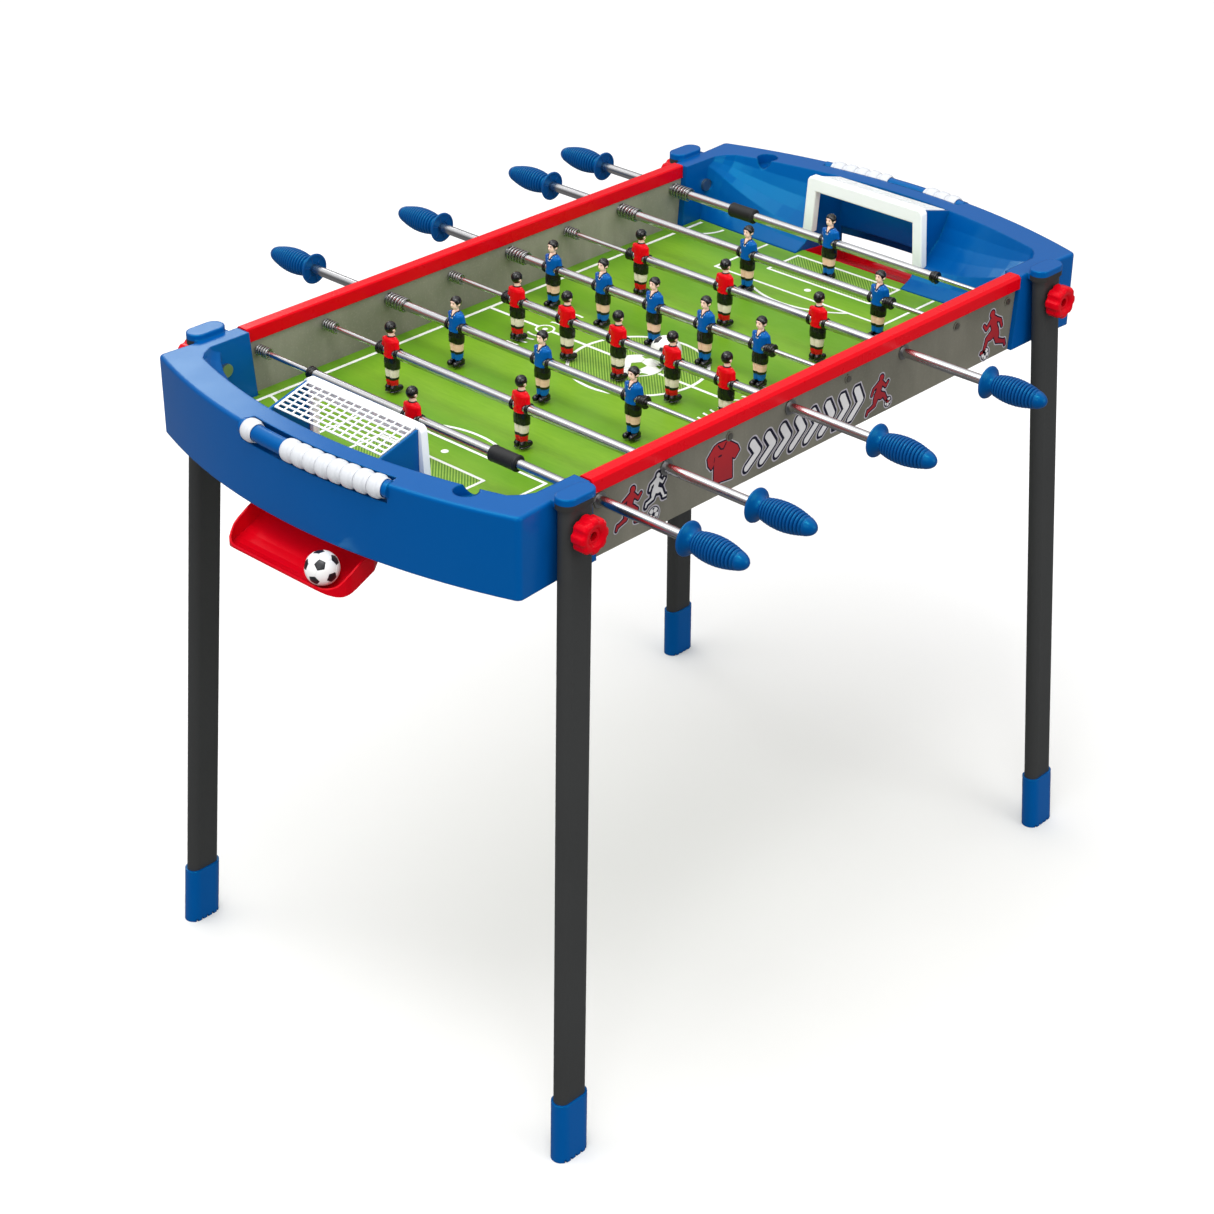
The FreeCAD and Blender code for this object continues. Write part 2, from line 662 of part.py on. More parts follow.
def knob_shape():
    """Disc along +Z with finger hollows round it, a dished top and a bore."""
    body = new_body("KnobMaster")
    disc = sketch_on(body, "XY_Plane", "KnobDisc")
    draw_circle(disc, 0.0, 0.0, dim("knob_radius"))
    pad(body, disc, dim("knob_thick"), "KnobPad")

    finger = sketch_on(body, "XY_Plane", "KnobFinger")
    draw_circle(finger, dim("lobe_ring"), 0.0, dim("lobe_radius"))
    finger_cut = cut_through(body, finger, "KnobFingerCut")
    pattern = body.newObject("PartDesign::PolarPattern", "KnobFingers")
    pattern.Originals = [finger_cut]
    pattern.Axis = (finger, ["N_Axis"])
    pattern.Angle = 360.0
    pattern.Occurrences = LOBE_CUTS
    body.Tip = pattern
    doc.recompute()

    dish = sketch_on(body, "XY_Plane", "KnobDish", dim("knob_thick"))
    draw_circle(dish, 0.0, 0.0, dim("dish_radius"))
    dish_cut = body.newObject("PartDesign::Pocket", "KnobDishCut")
    dish_cut.Profile = dish
    dish_cut.Length = mm("dish_deep")
    dish_cut.setExpression("Length", dim("dish_deep").text)
    body.Tip = dish_cut
    doc.recompute()

    bore = sketch_on(body, "XY_Plane", "KnobBore")
    draw_circle(bore, 0.0, 0.0, dim("bolt_radius") + dim("run_gap"))
    cut_through(body, bore, "KnobBoreCut")

    # round the top's outer edges, not the dish's
    shape = body.Shape.copy()
    top = mm("knob_thick")
    edges = []
    for edge in shape.Edges:
        box = edge.BoundBox
        reach = max(abs(box.XMax), abs(box.YMax), abs(box.XMin), abs(box.YMin))
        if abs(box.ZMax - top) < 1e-6 and abs(box.ZMin - top) < 1e-6 and reach > 8.0:
            edges.append(edge)
    return shape.makeFillet(1.6, edges)


knob = knob_shape()
for x_side, y_side, where in CORNERS:
    centre = Vector(x_side * mm("knob_x"), y_side * mm("knob_from"), mm("knob_z"))
    add_shape("Knob_%s" % where, "knob_%s" % where, knob, Placement(centre, along(y_side)))

# --------------------------------------------------------------- goals ----
# Right-hand goal; the sloping net runs from the crossbar out and down to the rim.
NET_COLUMNS, NET_ROWS = 13, 7
NET_BAR = 1.7
goal_back = mm("goal_front") + mm("goal_deep")
net_from_x, net_from_z = goal_back - 0.5, mm("goal_top") - 1.5
net_run = mm("net_back") - net_from_x
net_slope = (net_from_z - mm("net_low")) / net_run


def net_top_z(x):
    return net_from_z - net_slope * (x - net_from_x)


def goal_frame():
    front, deep = mm("goal_front"), mm("goal_deep")
    top, foot = mm("goal_top"), mm("goal_foot")
    bar_under = top - mm("goal_bar")
    # (y, z)
    outer = [(-86.0, top), (86.0, top), (91.0, foot), (-91.0, foot)]
    inner = [(-73.0, bar_under), (73.0, bar_under), (77.0, foot - 5), (-77.0, foot - 5)]
    frame = face_yz(outer, front).extrude(Vector(deep, 0, 0))
    corners = [edge for edge in frame.Edges if abs(edge.BoundBox.ZMin - top) < 1e-6
               and abs(edge.BoundBox.XMax - edge.BoundBox.XMin - deep) < 1e-6]
    frame = frame.makeFillet(7.0, corners)
    frame = frame.cut(face_yz(inner, front - 1).extrude(Vector(deep + 2, 0, 0)))
    front_edges = [edge for edge in frame.Edges if abs(edge.BoundBox.XMax - front) < 1e-6
                   and abs(edge.BoundBox.XMin - front) < 1e-6]
    return frame.makeFillet(2.0, front_edges)


def goal_net():
    """Sloping sheet cut into a lattice."""
    half, thick = mm("net_half"), mm("net_thick")
    back, low = mm("net_back"), mm("net_low")
    side_face = face_xz([(net_from_x, net_from_z - thick), (back, low - thick),
                         (back, low), (net_from_x, net_from_z)], -half)
    net = side_face.extrude(Vector(0, 2 * half, 0))
    y_pitch = (2 * half - 2.4) / NET_COLUMNS
    x_pitch = (net_run - 3.2) / NET_ROWS
    holes = []
    for i in range(NET_COLUMNS):
        for j in range(NET_ROWS):
            x = net_from_x + 3.0 + j * x_pitch
            y = -half + 2.4 + i * y_pitch
            holes.append(Part.makeBox(x_pitch - NET_BAR, y_pitch - NET_BAR, 40.0,
                                      Vector(x, y, net_top_z(x) - 22)))
    return net.cut(Part.makeCompound(holes))


goal = single(goal_frame().fuse(goal_net()).removeSplitter())
add_both_ends("Goal", "goal", goal)

# ---------------------------------------------------------- ball trays ----
# Right-hand tray, from under the board's end out to a rounded lip.
board_end = mm("board_half_len") + 0.2
tray_lip = mm("tray_lip_x")
TRAY_FROM_X = 385.0
TRAY_CORNER = 26.0
TRAY_LIP_Z = 634.2
TRAY_FLOOR = [
    # x, z of the floor's upper face, going outwards
    (board_end, 675.6), (412.0, 670.0), (470.0, 644.6), (498.0, 632.0), (507.0, 629.0),
    (514.0, 628.2), (520.0, 629.2), (526.0, 631.6), (tray_lip, TRAY_LIP_Z),
]
TRAY_EDGE = [
    # x, z of the walls' top edge, coming back inwards
    (526.0, 634.6), (518.0, 637.6), (508.0, 645.5), (490.0, 656.0), (470.0, 664.6),
    (456.0, 666.4), (430.0, 676.0), (board_end, 679.6),
]


def tray_plan(inset):
    """Upright prism over the tray's plan, drawn in by the inset."""
    neck, half = mm("tray_neck") - inset, mm("tray_half") - inset
    radius = TRAY_CORNER - inset
    points = [(TRAY_FROM_X, neck), (462.0, neck), (474.0, half)]
    for i in range(7):
        angle = math.radians(90 - 15 * i)
        points.append((tray_lip - inset - radius + radius * math.cos(angle),
                       half - radius + radius * math.sin(angle)))
    points += [(x, -y) for x, y in reversed(points)]
    return face_xy(points, 600).extrude(Vector(0, 0, 100))


def tray_shape():
    skin = mm("tray_skin")
    outer = ([(TRAY_FROM_X, 673.0)] + [(x, z - skin) for x, z in TRAY_FLOOR[1:]]
             + [(tray_lip + 1, TRAY_LIP_Z - skin), (tray_lip + 1, TRAY_LIP_Z)]
             + TRAY_EDGE + [(TRAY_FROM_X, 679.9)])
    inner = ([(380.0, 677.6)] + TRAY_FLOOR[:-1]
             + [(tray_lip + 5, 637.0), (tray_lip + 5, 700), (380.0, 700)])
    across = Vector(0, 200, 0)
    outside = face_xz(outer, -100).extrude(across).common(tray_plan(0.0))
    inside = face_xz(inner, -100).extrude(across).common(tray_plan(skin))
    tray = outside.cut(inside)
    # nothing may stand inside the board's end; a tongue lies under the board
    tray = tray.cut(box_across(board_end - 20.0, 20.0, 100.0, 660, 40.0))
    tongue_thick = 2.4
    board_under = mm("board_top") - mm("board_thick")
    tongue = box_across(368.0, 22.4, 75.0, board_under - tongue_thick, tongue_thick)
    return single(tray.fuse(tongue).removeSplitter())


add_both_ends("Tray", "ball_tray", tray_shape())

# ---------------------------------------------------------- end shells ----
# Right-hand shell: curved outer wall, corner banks, goal pocket and leg caps.
INBOARD_X = 330.0       # cutters start here, inboard of the shell
CLEAR_Z = 800.0         # and end here, above it
LINING = 2.6            # wall left round the bar slot and the scoop
rim_arc = mm("arc_radius") - mm("rim_wide")
bar_arc = mm("arc_radius") - mm("bar_inset")
STATIONS = [
    # y, foot x, crest x, crest z, rim x (None: on the rim's inner arc)
    (80.0, 372.0, 402.0, 699.6, None), (100.0, 372.2, 402.4, 700.4, None),
    (120.0, 372.6, 403.0, 701.8, None), (140.0, 373.0, 403.3, 704.6, None),
    (160.0, 373.4, 403.6, 708.6, None), (180.0, 374.0, 404.2, 713.6, None),
    (198.0, 374.6, 404.4, 719.4, None), (212.0, 375.2, 403.6, 725.6, None),
    (224.0, 375.8, 401.4, 732.4, 426.5), (233.0, 376.4, 397.0, 739.6, 417.0),
    (240.0, 376.9, 391.0, 746.0, 404.0),
]


def arc_x(y, radius):
    """x on an arc concentric with the outer wall."""
    return -mm("arc_shift") + math.sqrt(radius * radius - y * y)


def shell_outline(inset, z):
    """Outer plan of the shell, drawn in by the inset."""
    radius = mm("arc_radius") - inset
    side_y, corner_y = mm("shell_side_y") - inset, mm("shell_corner_y") - inset
    corner_x = arc_x(corner_y, radius)
    plan = [(338.0, side_y), (402.0, side_y + 0.6), (corner_x, corner_y)]
    back = [Vector(x, y, z) for x, y in plan]
    front = [Vector(x, -y, z) for x, y in plan]
    curves = [Part.LineSegment(back[0], back[1]), Part.LineSegment(back[1], back[2]),
              Part.Arc(back[2], Vector(arc_x(0, radius), 0, z), front[2]),
              Part.LineSegment(front[2], front[1]), Part.LineSegment(front[1], front[0]),
              Part.LineSegment(front[0], back[0])]
    return Part.Face(Part.Wire([curve.toShape() for curve in curves]))


def shell_block():
    bottom, top = mm("wall_bottom"), mm("rim_top")
    block = shell_outline(0.0, bottom).extrude(Vector(0, 0, top - bottom))
    upright = [edge for edge in block.Edges
               if abs(edge.BoundBox.ZMax - edge.BoundBox.ZMin - (top - bottom)) < 1e-6
               and edge.BoundBox.XMin > 440]
    block = block.makeFillet(7.0, upright)
    top_edges = []
    for edge in block.Edges:
        box = edge.BoundBox
        on_side = box.XMax > 345 and max(abs(box.YMax), abs(box.YMin)) > 255
        if box.ZMin > top - 1e-6 and (on_side or box.XMax > 480):
            top_edges.append(edge)
    return block.makeFillet(4.0, top_edges)


def station_wire(station, side, grow, y_extra):
    """Section of the corner space: board level, bank, hollowed end wall."""
    y, foot_x, crest_x, crest_z, rim_x = station
    board, rim = mm("board_top"), mm("rim_top")
    if rim_x is None:
        rim_x = arc_x(y, rim_arc)
    points = [(INBOARD_X, board - grow), (foot_x + 0.5 * grow, board - grow),
              (foot_x + (crest_x - foot_x) * 0.62 + grow,
               board + (crest_z - board) * 0.42 - 0.6 * grow),
              (crest_x + grow, crest_z - 0.5 * grow)]
    # hollow of the end wall between crest and rim
    bow = 0.16 * (rim_x - crest_x)
    for ratio in (0.25, 0.5, 0.75):
        sag = bow * math.sin(math.pi * ratio)
        points.append((crest_x + (rim_x - crest_x) * ratio + sag * 0.9 + grow,
                       crest_z + (rim - crest_z) * ratio - sag * 0.5 - 0.4 * grow))
    points += [(rim_x + grow, rim), (rim_x + grow, CLEAR_Z), (INBOARD_X, CLEAR_Z)]
    return closed_wire([Vector(x, side * (y + y_extra), z) for x, z in points])


def corner_cavity(side, grow):
    """Space over one corner; only its outermost section moves out in y."""
    wires = [station_wire(station, side, grow, 0.0) for station in STATIONS[:-1]]
    wires.append(station_wire(STATIONS[-1], side, grow, grow))
    return Part.makeLoft(wires, True, True)


def board_space(grow, box_high):
    """Space over both corners and before the goal, grown all round."""
    middle = box_across(INBOARD_X, 72.0 + grow, mm("pocket_half") + 0.4 + grow,
                        mm("board_top") - grow, box_high)
    return corner_cavity(1, grow).fuse([corner_cavity(-1, grow), middle])


def pocket_prism(grow):
    """Upright prism of the pocket behind the goal."""
    x, half = 371.0 - grow, mm("pocket_half") + grow
    radius = rim_arc + grow
    arc_end = arc_x(half, radius)
    corners = [Vector(x, -half, 600), Vector(x, half, 600),
               Vector(arc_end, half, 600), Vector(arc_end, -half, 600)]
    curves = [Part.LineSegment(corners[0], corners[1]), Part.LineSegment(corners[1], corners[2]),
              Part.Arc(corners[2], Vector(arc_x(0, radius), 0, 600), corners[3]),
              Part.LineSegment(corners[3], corners[0])]
    face = Part.Face(Part.Wire([curve.toShape() for curve in curves]))
    return face.extrude(Vector(0, 0, 200))


def ring_piece(radius, extra):
    """Part of a ring that follows the outer top edge: bar, slot or its lining."""
    shift = mm("arc_shift")
    from_angle = math.degrees(math.asin((mm("bar_from_y") - extra) / bar_arc))
    to_angle = math.degrees(math.asin((mm("bar_to_y") + extra) / bar_arc))
    centre = Vector(bar_arc - shift, 0, mm("bar_height"))
    section = Part.Face(Part.Wire([Part.Circle(centre, Vector(0, 1, 0), radius).toShape()]))
    section.rotate(Vector(-shift, 0, 0), Vector(0, 0, 1), from_angle)
    return section.revolve(Vector(-shift, 0, 0), Vector(0, 0, 1), to_angle - from_angle)


def net_cheek(side):
    """Wall beside the pocket that carries the net."""
    near_x = goal_back + 0.1
    far_x = arc_x(mm("pocket_half"), rim_arc) + 1.5
    thick = mm("net_thick")
    points = [(near_x, 700.0), (near_x, net_top_z(near_x) - thick),
              (far_x, max(mm("rim_top") - 0.5, net_top_z(far_x) - thick)), (far_x, 700.0)]
    cheek = face_xz(points, side * mm("pocket_half"))
    return cheek.extrude(Vector(0, side * mm("skin"), 0))


def leg_cap(side, leg_room):
    """Oval cap over the leg, with a neck that ties it to the shell at rim height."""
    x, y = mm("cap_x"), side * mm("cap_y")
    low, top = mm("leg_top") - mm("cap_skirt"), mm("rim_top") + mm("cap_rise")
    disc = Part.Face(slot_wire(x, y, low, mm("cap_long"), mm("cap_short")))
    disc = disc.extrude(Vector(0, 0, top - low))
    disc = disc.makeFillet(1.6, [edge for edge in disc.Edges if edge.BoundBox.ZMin > top - 1e-6])
    neck_corner = Vector(x - 21.0, min(side * 248.0, side * 272.0), mm("rim_top") - 6.5)
    neck = Part.makeBox(42.0, 24.0, 6.5, neck_corner)
    return disc.fuse(neck).cut(leg_room)


def scoop_cutter(grow):
    """Thumb scoop in the rim's inner edge."""
    floor = Vector(mm("scoop_x"), mm("scoop_y"), mm("scoop_floor") - grow)
    return Part.makeCylinder(mm("scoop_radius") + grow, 40.0, floor)


def underside_hollow():
    """Space inside the shell that leaves only its skin."""
    skin, bottom = mm("skin"), 640.0
    hollow = shell_outline(skin, bottom)
    hollow = hollow.extrude(Vector(0, 0, mm("rim_top") - skin - bottom))
    hollow = hollow.cut(box_across(INBOARD_X, board_end + skin - INBOARD_X, 300.0, 630.0, 200.0))
    # solid blocks at the leg sockets
    for side in (-1, 1):
        corner = Vector(390.0, min(side * 234.0, side * 275.0), 630.0)
        hollow = hollow.cut(Part.makeBox(20.0, 41.0, 200.0, corner))
    hollow = hollow.cut(board_space(skin, 160.0))
    hollow = hollow.cut(pocket_prism(skin))
    hollow = hollow.cut(ring_piece(mm("bar_slot") + LINING, 6.0))
    return hollow.cut(scoop_cutter(LINING))


def wing_end_cutter():
    """Trims the wings' ends to lean with the panel's end."""
    gap = 0.2
    low, high = mm("panel_half_len_low") + gap, mm("panel_half_len_high") + gap
    wall_bottom = mm("wall_bottom")
    lean = (high - low) / (mm("panel_top") - wall_bottom)
    bottom, top = 640.0, wall_bottom + 160.0
    points = [(320.0, bottom), (low + lean * (bottom - wall_bottom), bottom),
              (low + lean * (top - wall_bottom), top), (320.0, top)]
    return face_xz(points, -300).extrude(Vector(0, 600, 0))


def end_shell():
    solid = shell_block().cut(board_space(0.0, 130.0))
    solid = solid.fuse([net_cheek(-1), net_cheek(1)])
    # the board's bed and the pocket
    solid = solid.cut(box_across(INBOARD_X, board_end - INBOARD_X, mm("wing_inner"),
                                 580.0, 100.0))
    solid = solid.cut(pocket_prism(0.0))
    caps = []
    for side in (-1, 1):
        leg_room = leg_bar(1, side, mm("leg_long") + 0.4, mm("leg_short") + 0.4,
                           600.0, mm("leg_top") + 0.1)
        solid = solid.cut(leg_room)
        caps.append(leg_cap(side, leg_room))
    solid = solid.cut(underside_hollow())
    # slot and bar of the bead counter on the outer top edge
    solid = solid.cut(ring_piece(mm("bar_slot"), 0.0))
    solid = solid.fuse([ring_piece(mm("bar_radius"), 1.5)] + caps)
    solid = solid.cut(scoop_cutter(0.0))
    # mouth under the pocket's outer wall, where the ball runs out to the tray
    solid = solid.cut(box_across(440.0, 45.0, 78.0, 640.0, 52.0))
    # bolt holes through the wings
    for side in (-1, 1):
        solid = solid.cut(bolt_bar(1, side, mm("bolt_radius"), 230, 275))
        solid = solid.cut(bolt_bar(1, side, mm("bolt_head"), 225, mm("wing_inner")))
    solid = solid.cut(goal)
    solid = solid.cut(wing_end_cutter()).removeSplitter()
    if solid.ShapeType == "Compound":
        solid = max(solid.Solids, key=lambda piece: piece.Volume)
    return solid


add_both_ends("Shell", "end_shell", end_shell())

# -------------------------------------------------------- bead counters ----
BEAD_GROUPS = [
    # end, group, first bead's y before any half turn, beads
    ("Right", "A", 41.6, 5), ("Right", "B", -62.6, 3),
    ("Left", "A", -3.9, 8), ("Left", "B", -67.0, 1),
]


def bead_shape(y):
    """One spool-shaped counting bead on the right-hand bar."""
    half = mm("bead_pitch") / 2.0 - 0.12
    outer, waist, bore = mm("bead_outer"), mm("bead_waist"), mm("bead_bore")
    bead = turned_shape([(bore, -half), (waist, -half), (outer, -half + 1.6), (outer, 0.8),
                         (waist, 3.2), (waist, half), (bore, half)])
    # lay it along Y, then swing it round the arc's centre
    bead.rotate(Vector(0, 0, 0), Vector(1, 0, 0), -90)
    bead.translate(Vector(bar_arc, 0, 0))
    bead.rotate(Vector(0, 0, 0), Vector(0, 0, 1), math.degrees(math.asin(y / bar_arc)))
    bead.translate(Vector(-mm("arc_shift"), 0, mm("bar_height")))
    return bead


for end, group, first_y, count in BEAD_GROUPS:
    beads = [bead_shape(first_y + mm("bead_pitch") * i) for i in range(count)]
    if end == "Left":
        beads = [turn_half(bead) for bead in beads]
    add_shape("Beads%s%s" % (end, group), "score_beads_%s_%s" % (end.lower(), group.lower()),
              Part.makeCompound(beads))


# --------------------------------------------------------------- balls ----
def make_ball(name, label, x, y, z):
    ball = doc.addObject("Part::Sphere", name)
    ball.Radius = mm("ball_radius")
    ball.setExpression("Radius", dim("ball_radius").text)
    ball.Placement = Placement(Vector(x.value, y.value, z.value), Rotation())
    bind_place(ball, x=x, y=y, z=z)
    sub_part(ball, label)


# a spare ball in the left tray and the one in play, resting on the board
make_ball("BallSphere", "ball", dim("ball_x"), dim("ball_y"), dim("ball_z"))
make_ball("MatchBallSphere", "match_ball", dim("match_ball_x"), dim("match_ball_y"),
          dim("board_top") + dim("ball_radius"))

# ------------------------------------------------------ check and write ----
doc.recompute()
bad = []
for obj in doc.Objects:
    if "Invalid" in obj.State or "Error" in obj.State:
        bad.append("%s is %s" % (obj.Name, obj.State))
for label, obj in parts:
    shape = obj.Shape
    if shape.isNull() or not shape.isValid() or not shape.Solids:
        bad.append("%s has no valid solid" % label)
if bad:
    raise RuntimeError("; ".join(bad))
for label, obj in parts:
    obj.Shape.exportStep("parts/%s.step" % label)
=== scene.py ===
"""Table football game on four legs.

The frame is in metres: the table's length runs along X, the eight rods along Y, Z is up and
the floor is z = 0.  Parts are drawn in millimetres and brought to metres by MM.
"""
import json
import math

import bmesh
import bpy
import numpy as np
from mathutils import Matrix, Vector


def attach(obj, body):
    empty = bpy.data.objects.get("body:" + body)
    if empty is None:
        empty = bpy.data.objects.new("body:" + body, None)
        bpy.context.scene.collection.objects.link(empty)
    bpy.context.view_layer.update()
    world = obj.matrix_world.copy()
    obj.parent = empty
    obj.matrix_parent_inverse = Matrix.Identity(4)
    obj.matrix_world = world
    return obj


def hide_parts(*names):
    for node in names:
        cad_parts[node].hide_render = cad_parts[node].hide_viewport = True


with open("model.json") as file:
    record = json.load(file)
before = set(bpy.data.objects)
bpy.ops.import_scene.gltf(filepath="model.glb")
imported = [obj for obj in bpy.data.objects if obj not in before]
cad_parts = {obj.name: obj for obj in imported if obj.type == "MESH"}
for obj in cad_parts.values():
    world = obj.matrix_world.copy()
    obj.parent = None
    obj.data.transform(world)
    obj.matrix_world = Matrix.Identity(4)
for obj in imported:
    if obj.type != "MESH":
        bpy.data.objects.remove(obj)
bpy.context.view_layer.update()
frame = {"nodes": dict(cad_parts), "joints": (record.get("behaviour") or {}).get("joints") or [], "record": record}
NODES = frame["nodes"]
BODY_OF = {node: body for body, nodes in frame["record"]["behaviour"]["bodies"].items()
           for node in nodes}
MM = 0.001

# ---------------------------------------------------------------------
# rods
# ---------------------------------------------------------------------
RODS = range(1, 9)
joints = {joint["name"]: joint for joint in frame["joints"]}
SPINS = {rod: joints["rod_%d_spin" % rod] for rod in RODS}
ROD_Z = SPINS[1]["pos_m"][2] * 1000.0
ROD_X = {rod: spin["pos_m"][0] * 1000.0 for rod, spin in SPINS.items()}
# +1 where the handle is on the back (+Y), -1 on the front
SIDE = {rod: (1.0 if spin["axis"][1] > 0 else -1.0) for rod, spin in SPINS.items()}
RED_RODS = (1, 2, 4, 6)
# distances from the table's middle towards the handle: each player, and the grip's flange
PLAYERS = {1: [-4.0], 2: [-139.8, 57.1], 3: [138.7, 6.5, -125.6],
           4: [-139.6, -61.7, 15.2, 94.2, 170.5], 5: [176.4, 97.2, 18.8, -57.2, -136.7],
           6: [-126.5, 3.1, 139.1], 7: [44.3, -149.6], 8: [-1.6]}
FLANGE = {1: 370.6, 2: 373.0, 3: 373.0, 4: 369.6, 5: 360.5, 6: 368.4, 7: 363.1, 8: 364.2}


# =====================================================================
# node trees
# =====================================================================
def srgb(*channels):
    def linear(value):
        value /= 255.0
        return value / 12.92 if value <= 0.04045 else ((value + 0.055) / 1.055) ** 2.4
    return (*map(linear, channels), 1.0)


def scaled(colour, factor):
    return (*(min(1, value * factor) for value in colour[:3]), 1.0)


class Nodes:
    """Builds a node tree; any input takes either a value or an output socket."""

    def __init__(self, tree):
        self.tree = tree
        tree.nodes.clear()

    def feed(self, socket, value):
        if isinstance(value, bpy.types.NodeSocket):
            self.tree.links.new(value, socket)
        else:
            socket.default_value = value

    def node(self, kind, *values, **options):
        """Lower-case options are settings, capitalised ones inputs; values fill inputs in turn."""
        made = self.tree.nodes.new("ShaderNode" + kind)
        for key, value in options.items():
            if key[0].isupper():
                self.feed(made.inputs[key.replace("_", " ")], value)
            else:
                setattr(made, key, value)
        for socket, value in zip(made.inputs, values):
            self.feed(socket, value)
        return made

    def ramp(self, fac, stops):
        made = self.node("ValToRGB", fac)
        elements = made.color_ramp.elements
        while len(elements) > 1:
            elements.remove(elements[-1])
        elements[0].position, elements[0].color = stops[0]
        for place, colour in stops[1:]:
            elements.new(place).color = colour
        return made.outputs["Color"]

    def axes(self, vector):
        return self.node("SeparateXYZ", vector).outputs

    def mix_shader(self, fac, first, second):
        return self.node("MixShader", fac, first, second).outputs[0]


MATS = {}


class Material(Nodes):
    """A Principled material in object coordinates, filed in MATS under its name."""

    def __init__(self, name):
        MATS[name] = bpy.data.materials.new(name)
        MATS[name].use_nodes = True
        super().__init__(MATS[name].node_tree)
        self.out = self.node("OutputMaterial")
        self.bsdf = self.node("BsdfPrincipled")
        self.show(self.bsdf.outputs[0])
        self.coords = self.node("TexCoord").outputs["Object"]
        self.normal = None

    def show(self, shader):
        self.feed(self.out.inputs["Surface"], shader)

    def set(self, **values):
        for key, value in values.items():
            self.feed(self.bsdf.inputs[key.replace("_", " ")], value)

    def position(self):
        return self.node("NewGeometry").outputs["Position"]

    def stretched(self, *scale):
        return self.node("Mapping", Scale=scale, Vector=self.coords).outputs[0]

    def noise(self, scale, detail, rough=0.5, vector=None):
        return self.node("TexNoise", Scale=scale, Detail=detail, Roughness=rough,
                         Vector=self.coords if vector is None else vector).outputs["Fac"]

    def mix(self, fac, first, second):
        made = self.node("Mix", data_type="RGBA", Factor=fac)
        inputs = [socket for socket in made.inputs if socket.type == "RGBA"]
        for socket, value in zip(inputs, (first, second)):
            self.feed(socket, value)
        return [socket for socket in made.outputs if socket.type == "RGBA"][0]

    def remap(self, value, to_min, to_max, from_min=0.3, from_max=0.7):
        """Maps a range, by default the middle of a noise, to another."""
        return self.node("MapRange", Value=value, From_Min=from_min, From_Max=from_max,
                         To_Min=to_min, To_Max=to_max).outputs["Result"]

    def step(self, value, start, end):
        """0 before start, 1 past end."""
        return self.remap(value, 0.0, 1.0, start, end)

    def math(self, operation, *values):
        return self.node("Math", *values, operation=operation).outputs[0]

    def use_normal(self, made):
        self.normal = made.outputs["Normal"]
        self.set(Normal=self.normal)

    def bump(self, height, strength, distance):
        made = self.node("Bump", Strength=strength, Distance=distance, Height=height)
        if self.normal is not None:
            self.feed(made.inputs["Normal"], self.normal)
        self.use_normal(made)


# =====================================================================
# materials
# =====================================================================
def plastic(name, colour, rough, vary, grain, grain_strength, specular, edge_light=0.0,
            coat=0.0, subsurface=0.0, soft=0.0, dim=1.0, tint=None):
    mat = Material(name)
    base = scaled(srgb(*colour), dim)
    if soft:
        # rounds hard edges in the shading, as a moulded part's small edge radius does
        mat.use_normal(mat.node("Bevel", samples=4, Radius=soft))
    broad = mat.noise(scale=7.0, detail=4.0)
    tone = mat.ramp(broad, [(0.32, scaled(base, 1 - vary)), (0.68, scaled(base, 1 + vary))])
    fine = mat.noise(scale=240.0, detail=2.0)
    tone = mat.mix(mat.remap(fine, 0.0, 0.35), tone, scaled(base, 1 + 1.4 * vary))
    # painted highlight: convex edges, found by pointiness, are lightened
    if edge_light:
        edge_highlight_tone = (*(value * 0.78 + 0.10 for value in base[:3]), 1.0)
        edge = mat.step(mat.node("NewGeometry").outputs["Pointiness"], 0.52, 0.60)
        tone = mat.mix(mat.math("MULTIPLY", edge, edge_light), tone, edge_highlight_tone)
    sheen = mat.noise(scale=38.0, detail=2.0)
    mat.set(Base_Color=tone, Roughness=mat.remap(sheen, rough - 0.02, rough + 0.03),
            Specular_IOR_Level=specular)
    if tint:
        mat.set(Specular_Tint=tint)
    if coat:
        mat.set(Coat_Weight=coat, Coat_Roughness=0.12)
    if subsurface:
        mat.set(Subsurface_Weight=subsurface, Subsurface_Radius=(0.004, 0.003, 0.002),
                Subsurface_Scale=0.3)
    mat.bump(mat.noise(scale=grain, detail=2.0), grain_strength, distance=0.0002)
    mat.bump(mat.noise(scale=26.0, detail=2.0), strength=0.025, distance=0.0006)
    return mat


def metal(name, base, rough, streak, aged):
    mat = Material(name)
    cloud = mat.noise(scale=55.0, detail=4.0)
    tone = mat.ramp(cloud, [(0.3, scaled(base, 1 - aged)), (0.7, scaled(base, 1 + aged * 0.5))])
    drawn = mat.noise(scale=1.0, detail=2.0, vector=mat.stretched(420.0, 4.0, 420.0))
    mat.set(Metallic=1.0, Base_Color=tone,
            Roughness=mat.remap(drawn, rough - 0.02, rough + streak))
    mat.bump(mat.noise(scale=30.0, detail=1.0), strength=0.01, distance=0.0001)


def rod_material():
    """Chromed inner rod; its round head outside the panels is dull and dark."""
    mat = Material("chromed_core")
    away = mat.math("ABSOLUTE", mat.axes(mat.position())["Y"])
    outside = mat.step(away, 0.2566, 0.2572)
    tone = mat.ramp(mat.noise(scale=55.0, detail=4.0),
                    [(0.3, (0.59, 0.59, 0.60, 1.0)), (0.7, (0.62, 0.62, 0.63, 1.0))])
    mat.set(Metallic=1.0, Base_Color=mat.mix(outside, tone, (0.27, 0.26, 0.23, 1.0)),
            Roughness=mat.remap(outside, 0.20, 0.42, 0.0, 1.0))
    mat.bump(mat.noise(scale=30.0, detail=1.0), strength=0.01, distance=0.0001)


